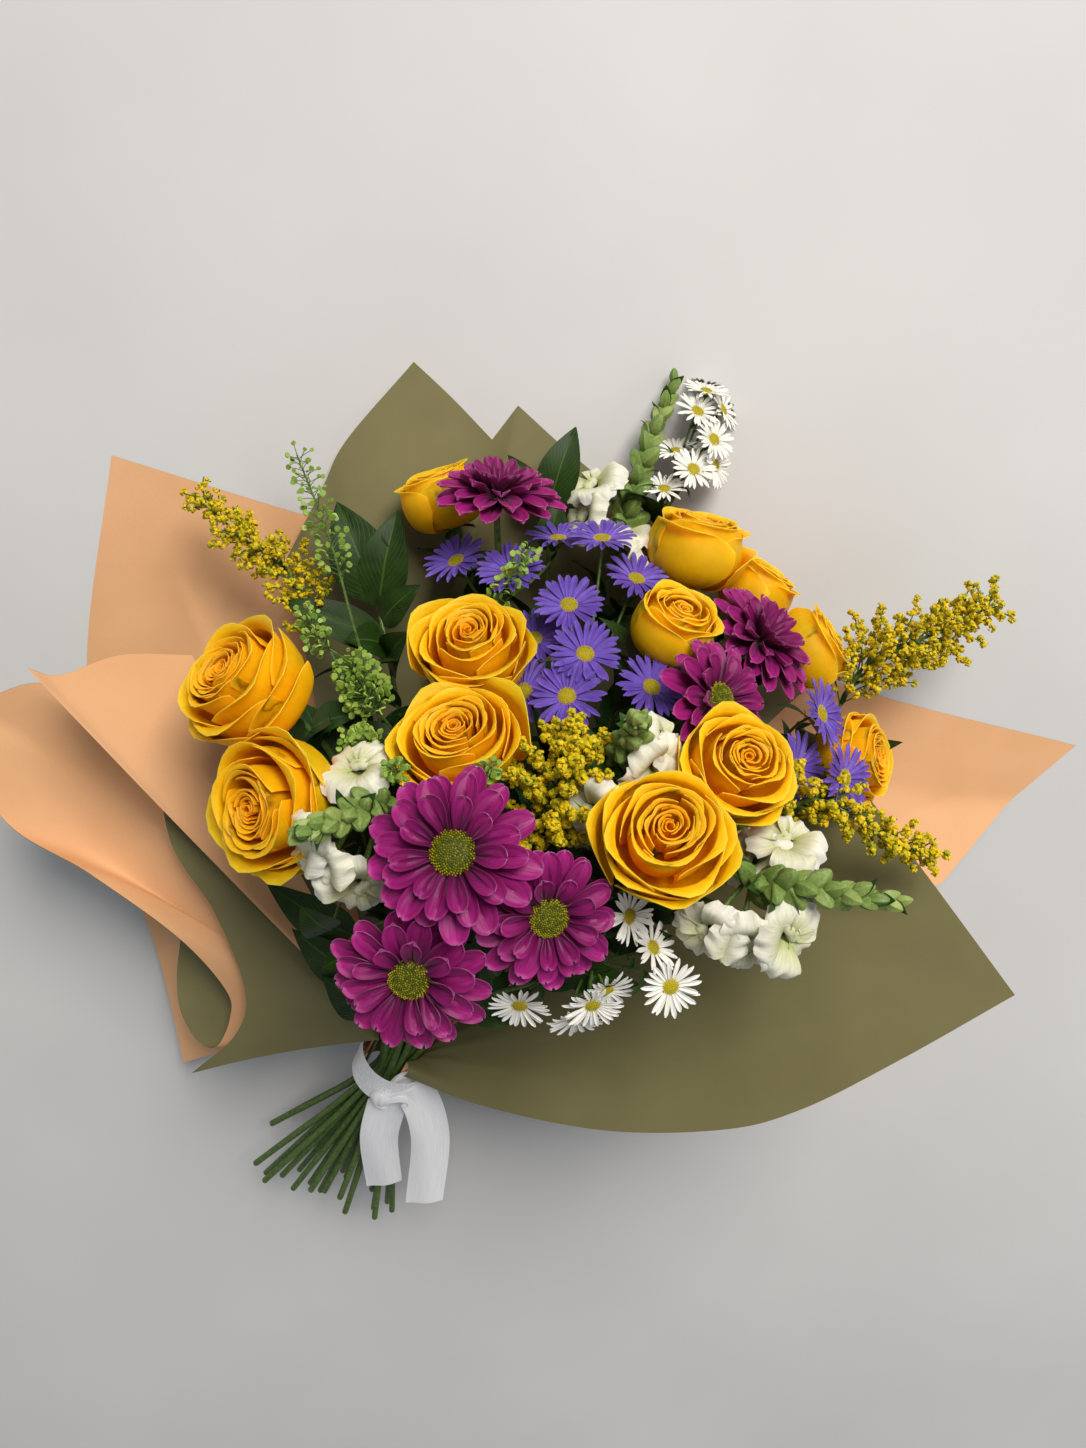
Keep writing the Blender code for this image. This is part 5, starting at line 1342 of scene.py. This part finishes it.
# Paper
sheets = {
    "paper_back_peach": {
        "rim": [
            [(177, 1077, -300), (149, 963, -282), (100, 830, -258), (85, 665, -228), (113, 455, -186)],
            [(113, 455, -186), (301, 515, -194), (600, 600, -216), (860, 690, -238), (1075, 745, -253)],
            [(1075, 745, -253), (1010, 822, -250), (950, 895, -246)],
        ],
        "steps": (7, 9, 2), "layer": (6.0, 6.0), "belly": 7.0, "lie": 17.0, "inside": "peach",
        "outside": "olive",
    },
    "paper_back_olive": {
        "rim": [
            [(285, 560, -184), (321, 489, -177), (345, 441, -169), (413, 362, -160)],
            [(413, 362, -160), (450, 397, -166), (492, 440, -178)],
            [(492, 440, -178), (518, 406, -169)],
            [(518, 406, -169), (579, 461, -178), (700, 560, -202), (830, 670, -219)],
        ],
        "steps": (4, 2, 1, 4), "layer": (4.0, 4.0), "belly": 4.0, "lie": 5.0, "inside": "olive",
        "outside": "peach",
    },
    "paper_left_roll": {
        "rim": [
            [(110, 700, -152), (35, 683, -134), (-28, 706, -126)],
            [(-28, 706, -126), (0, 815, -150), (90, 874, -172), (179, 938, -198), (226, 990, -218),
             (230, 1018, -228), (217, 1046, -240), (199, 1042, -250), (181, 1012, -254), (177, 975, -254),
             (181, 930, -242), (178, 880, -228)],
        ],
        "steps": (2, 15), "layer": (2.0, 3.0), "belly": 2.0, "inside": "peach", "outside": "olive",
        "channel": 28.0,
    },
    "paper_left_olive": {
        "rim": [
            [(192, 1073, -222), (236, 1034, -210), (245, 990, -198), (215, 913, -180), (170, 840, -164),
             (165, 750, -156), (215, 690, -160)],
        ],
        "steps": (8,), "layer": (1.0, 1.0), "belly": 3.0, "inside": "olive", "outside": "olive",
    },
    "paper_left_front": {
        "rim": [[(27, 668, -84), (60, 675, -92), (120, 655, -110), (192, 655, -132)]],
        "steps": (5,), "layer": (-0.3, -0.3), "belly": 8.0, "inside": "peach", "outside": "olive",
    },
    "paper_front_right": {
        "rim": [
            [(404, 1076, -225), (480, 1105, -192), (600, 1130, -142), (720, 1130, -102), (800, 1110, -82),
             (900, 1060, -67), (1015, 995, -50)],
            [(1015, 995, -50), (946, 901, -80), (876, 807, -118), (848, 768, -146)],
        ],
        "steps": (8, 4), "layer": (0.0, 0.0), "belly": 4.0, "inside": "olive", "outside": "peach",
    },
}
paperShape = {"neckRadius": 16.4, "layerStep": 1.2, "belowTie": 18.0, "mouth": 25.0, "mouthStep": 1.6,
              "thickness": 0.35, "rows": 40, "tieRows": 4, "columnsPerStep": 8, "pleat": 0.45}
papers = {"peach": peachPaper, "olive": olivePaper}


def paperSheet(name, data):
    rim = []
    for run, count in zip(data["rim"], data["steps"]):
        points = [spot(p) for p in run]
        fine = count * paperShape["columnsPerStep"]
        rim += [through(points, i / fine) for i in range(fine)]
    rim.append(spot(data["rim"][-1][-1]))
    columns, rows, tieRows = len(rim) - 1, paperShape["rows"], paperShape["tieRows"]
    firstLayer, lastLayer = data["layer"]

    def place(u, v):
        edge = rim[round(u * columns)]
        layer = firstLayer + (lastLayer - firstLayer) * u
        offset = edge - neck
        outward = (offset - bundleAxis * offset.dot(bundleAxis)).normalized()
        ring = outward * (paperShape["neckRadius"] + paperShape["layerStep"] * layer) * mm
        row = v * rows
        below = neck - bundleAxis * paperShape["belowTie"] * mm + ring
        mouth = neck + bundleAxis * (paperShape["mouth"] - paperShape["mouthStep"] * layer) * mm + ring
        if row < tieRows:
            return below.lerp(mouth, row / tieRows)
        t = (row - tieRows) / (rows - tieRows)
        point = mouth.lerp(edge, t)
        point += (outward * data["belly"] * mm + bundleAxis * 0.004) * math.sin(math.pi * t)
        hollow = eased(u, 0.0, 0.12) * (1 - eased(u, 0.16, 0.42)) * math.sin(math.pi * t ** 2.2)
        point -= turned((0, 0, data.get("channel", 0.0) * mm)) * hollow
        angle = math.atan2(outward.dot(bundleSide), outward.dot(bundleRise))
        point += outward * paperShape["pleat"] * mm * math.sin(angle * 22) * math.exp(-t * 5)
        point.z = max(point.z - data.get("lie", 0.0) * t * mm, 0.2 * mm)
        return point
    mesh = shaped(baseGrid(columns, rows), place, 0.0, papers[data["outside"]])
    mesh.materials.append(papers[data["inside"]])
    item = joined(name + "_sheet", [mesh])
    outwards = 0.0
    for polygon in mesh.polygons:  # the sheet's front is the side away from the stems
        offset = polygon.center - neck
        outwards += polygon.normal.dot(offset - bundleAxis * offset.dot(bundleAxis)) * polygon.area
    if outwards < 0:
        mesh.flip_normals()
    placedPiece(thickened(item, paperShape["thickness"], 1), "paper_" + data["inside"], name, angle=35.0)


for sheetName, data in sheets.items():
    paperSheet(sheetName, data)
print("paper done")

# Ribbon: a band round the tie, a knot, and two tails that start at the knot
ribbonShape = {"width": 27.0, "band": 24.0, "layer": 7.3, "thickness": 0.3, "knot": (7.4, 6.2, 4.4)}
ribbonTails = (
    [(413, 1090, -234), (430, 1135, -250), (424, 1202, -284)],
    [(388, 1098, -240), (379, 1138, -258), (384, 1184, -290)],
)


ribbonRadius = (paperShape["neckRadius"] + paperShape["layerStep"] * ribbonShape["layer"]) * mm
aroundTie = Matrix.Translation(neck) @ Matrix((bundleSide, bundleRise, bundleAxis)).transposed().to_4x4()


def bandPlace(u, v):
    angle = 2 * math.pi * u
    reach = ribbonRadius + 0.35 * mm * math.sin(angle * 9 + 5 * v) * math.sin(math.pi * v)
    return aroundTie @ Vector((reach * math.cos(angle), reach * math.sin(angle),
                               (v - 0.5) * ribbonShape["band"] * mm))


band = mended(joined("ribbon_band", [shaped(baseGrid(72, 10), bandPlace, 0.0, satinWhite)]))
placedPiece(thickened(band, ribbonShape["thickness"]), "satin_white", "ribbon")
front = turned((0, -0.35, 1))
front = (front - bundleAxis * front.dot(bundleAxis)).normalized()
knotPlace = neck - bundleAxis * 5 * mm + front * (ribbonRadius + 2 * mm)
knot = ball(28, 16, satinWhite)
wide, deep, tall = (size * mm for size in ribbonShape["knot"])
for vert in knot.vertices:
    crease = 1 + 0.10 * math.sin(vert.co.x * 9 + vert.co.y * 3)
    vert.co = Vector((vert.co.x * wide, vert.co.y * deep, vert.co.z * tall * crease))
newPiece("ribbon_knot", [copied(knot, frameAt(knotPlace, front))], "satin_white", "ribbon")
for index, tail in enumerate(ribbonTails):
    points = [knotPlace] + [spot(p) for p in tail]
    length = sum((through(points, (i + 1) / 40) - through(points, i / 40)).length for i in range(40))

    def tailPlace(u, v):
        along = (through(points, min(v + 0.02, 1)) - through(points, max(v - 0.02, 0))).normalized()
        side = along.cross(turned((0, 0, 1))).normalized()
        width = ribbonShape["width"] * mm * (0.35 + 0.65 * eased(v, 0.0, 0.35))
        folds = (1 - eased(v, 0.0, 0.5)) * 2.4 * mm * math.sin(u * 14) + 1.3 * mm * math.sin(u * 5 + v * 6)
        return (through(points, v) + side * (u - 0.5) * width + along * (u - 0.5) * 0.010 * v
                + side.cross(along) * folds)
    mesh = shaped(baseGrid(18, 44), tailPlace, 0.0, satinWhite)
    tailPiece = newPiece("ribbon_tail_" + str(index + 1), [mesh], "satin_white", "ribbon",
                         thickness=ribbonShape["thickness"])
print("ribbon done")

# Floor
floorSettings = {"size": 24.0, "drop": 0.0003}
floor = added("plane", size=floorSettings["size"], location=(0, 0, -floorSettings["drop"]))
floor.name = "floor"
floorPaint, tree, shader = newMaterial("studio floor, matt pale grey")
place = addNode(tree, "TexCoord")
cloud = addNode(tree, "TexNoise", {"Vector": place.outputs["Object"], "Scale": 3.0, "Detail": 4.0})
tone = addNode(tree, "ValToRGB", {0: cloud}, [(0.3, "C3C4C5"), (0.7, "CDCECF")])
setInputs(tree, shader, {"Base Color": tone, "Roughness": 0.9})
floor.data.materials.append(floorPaint)
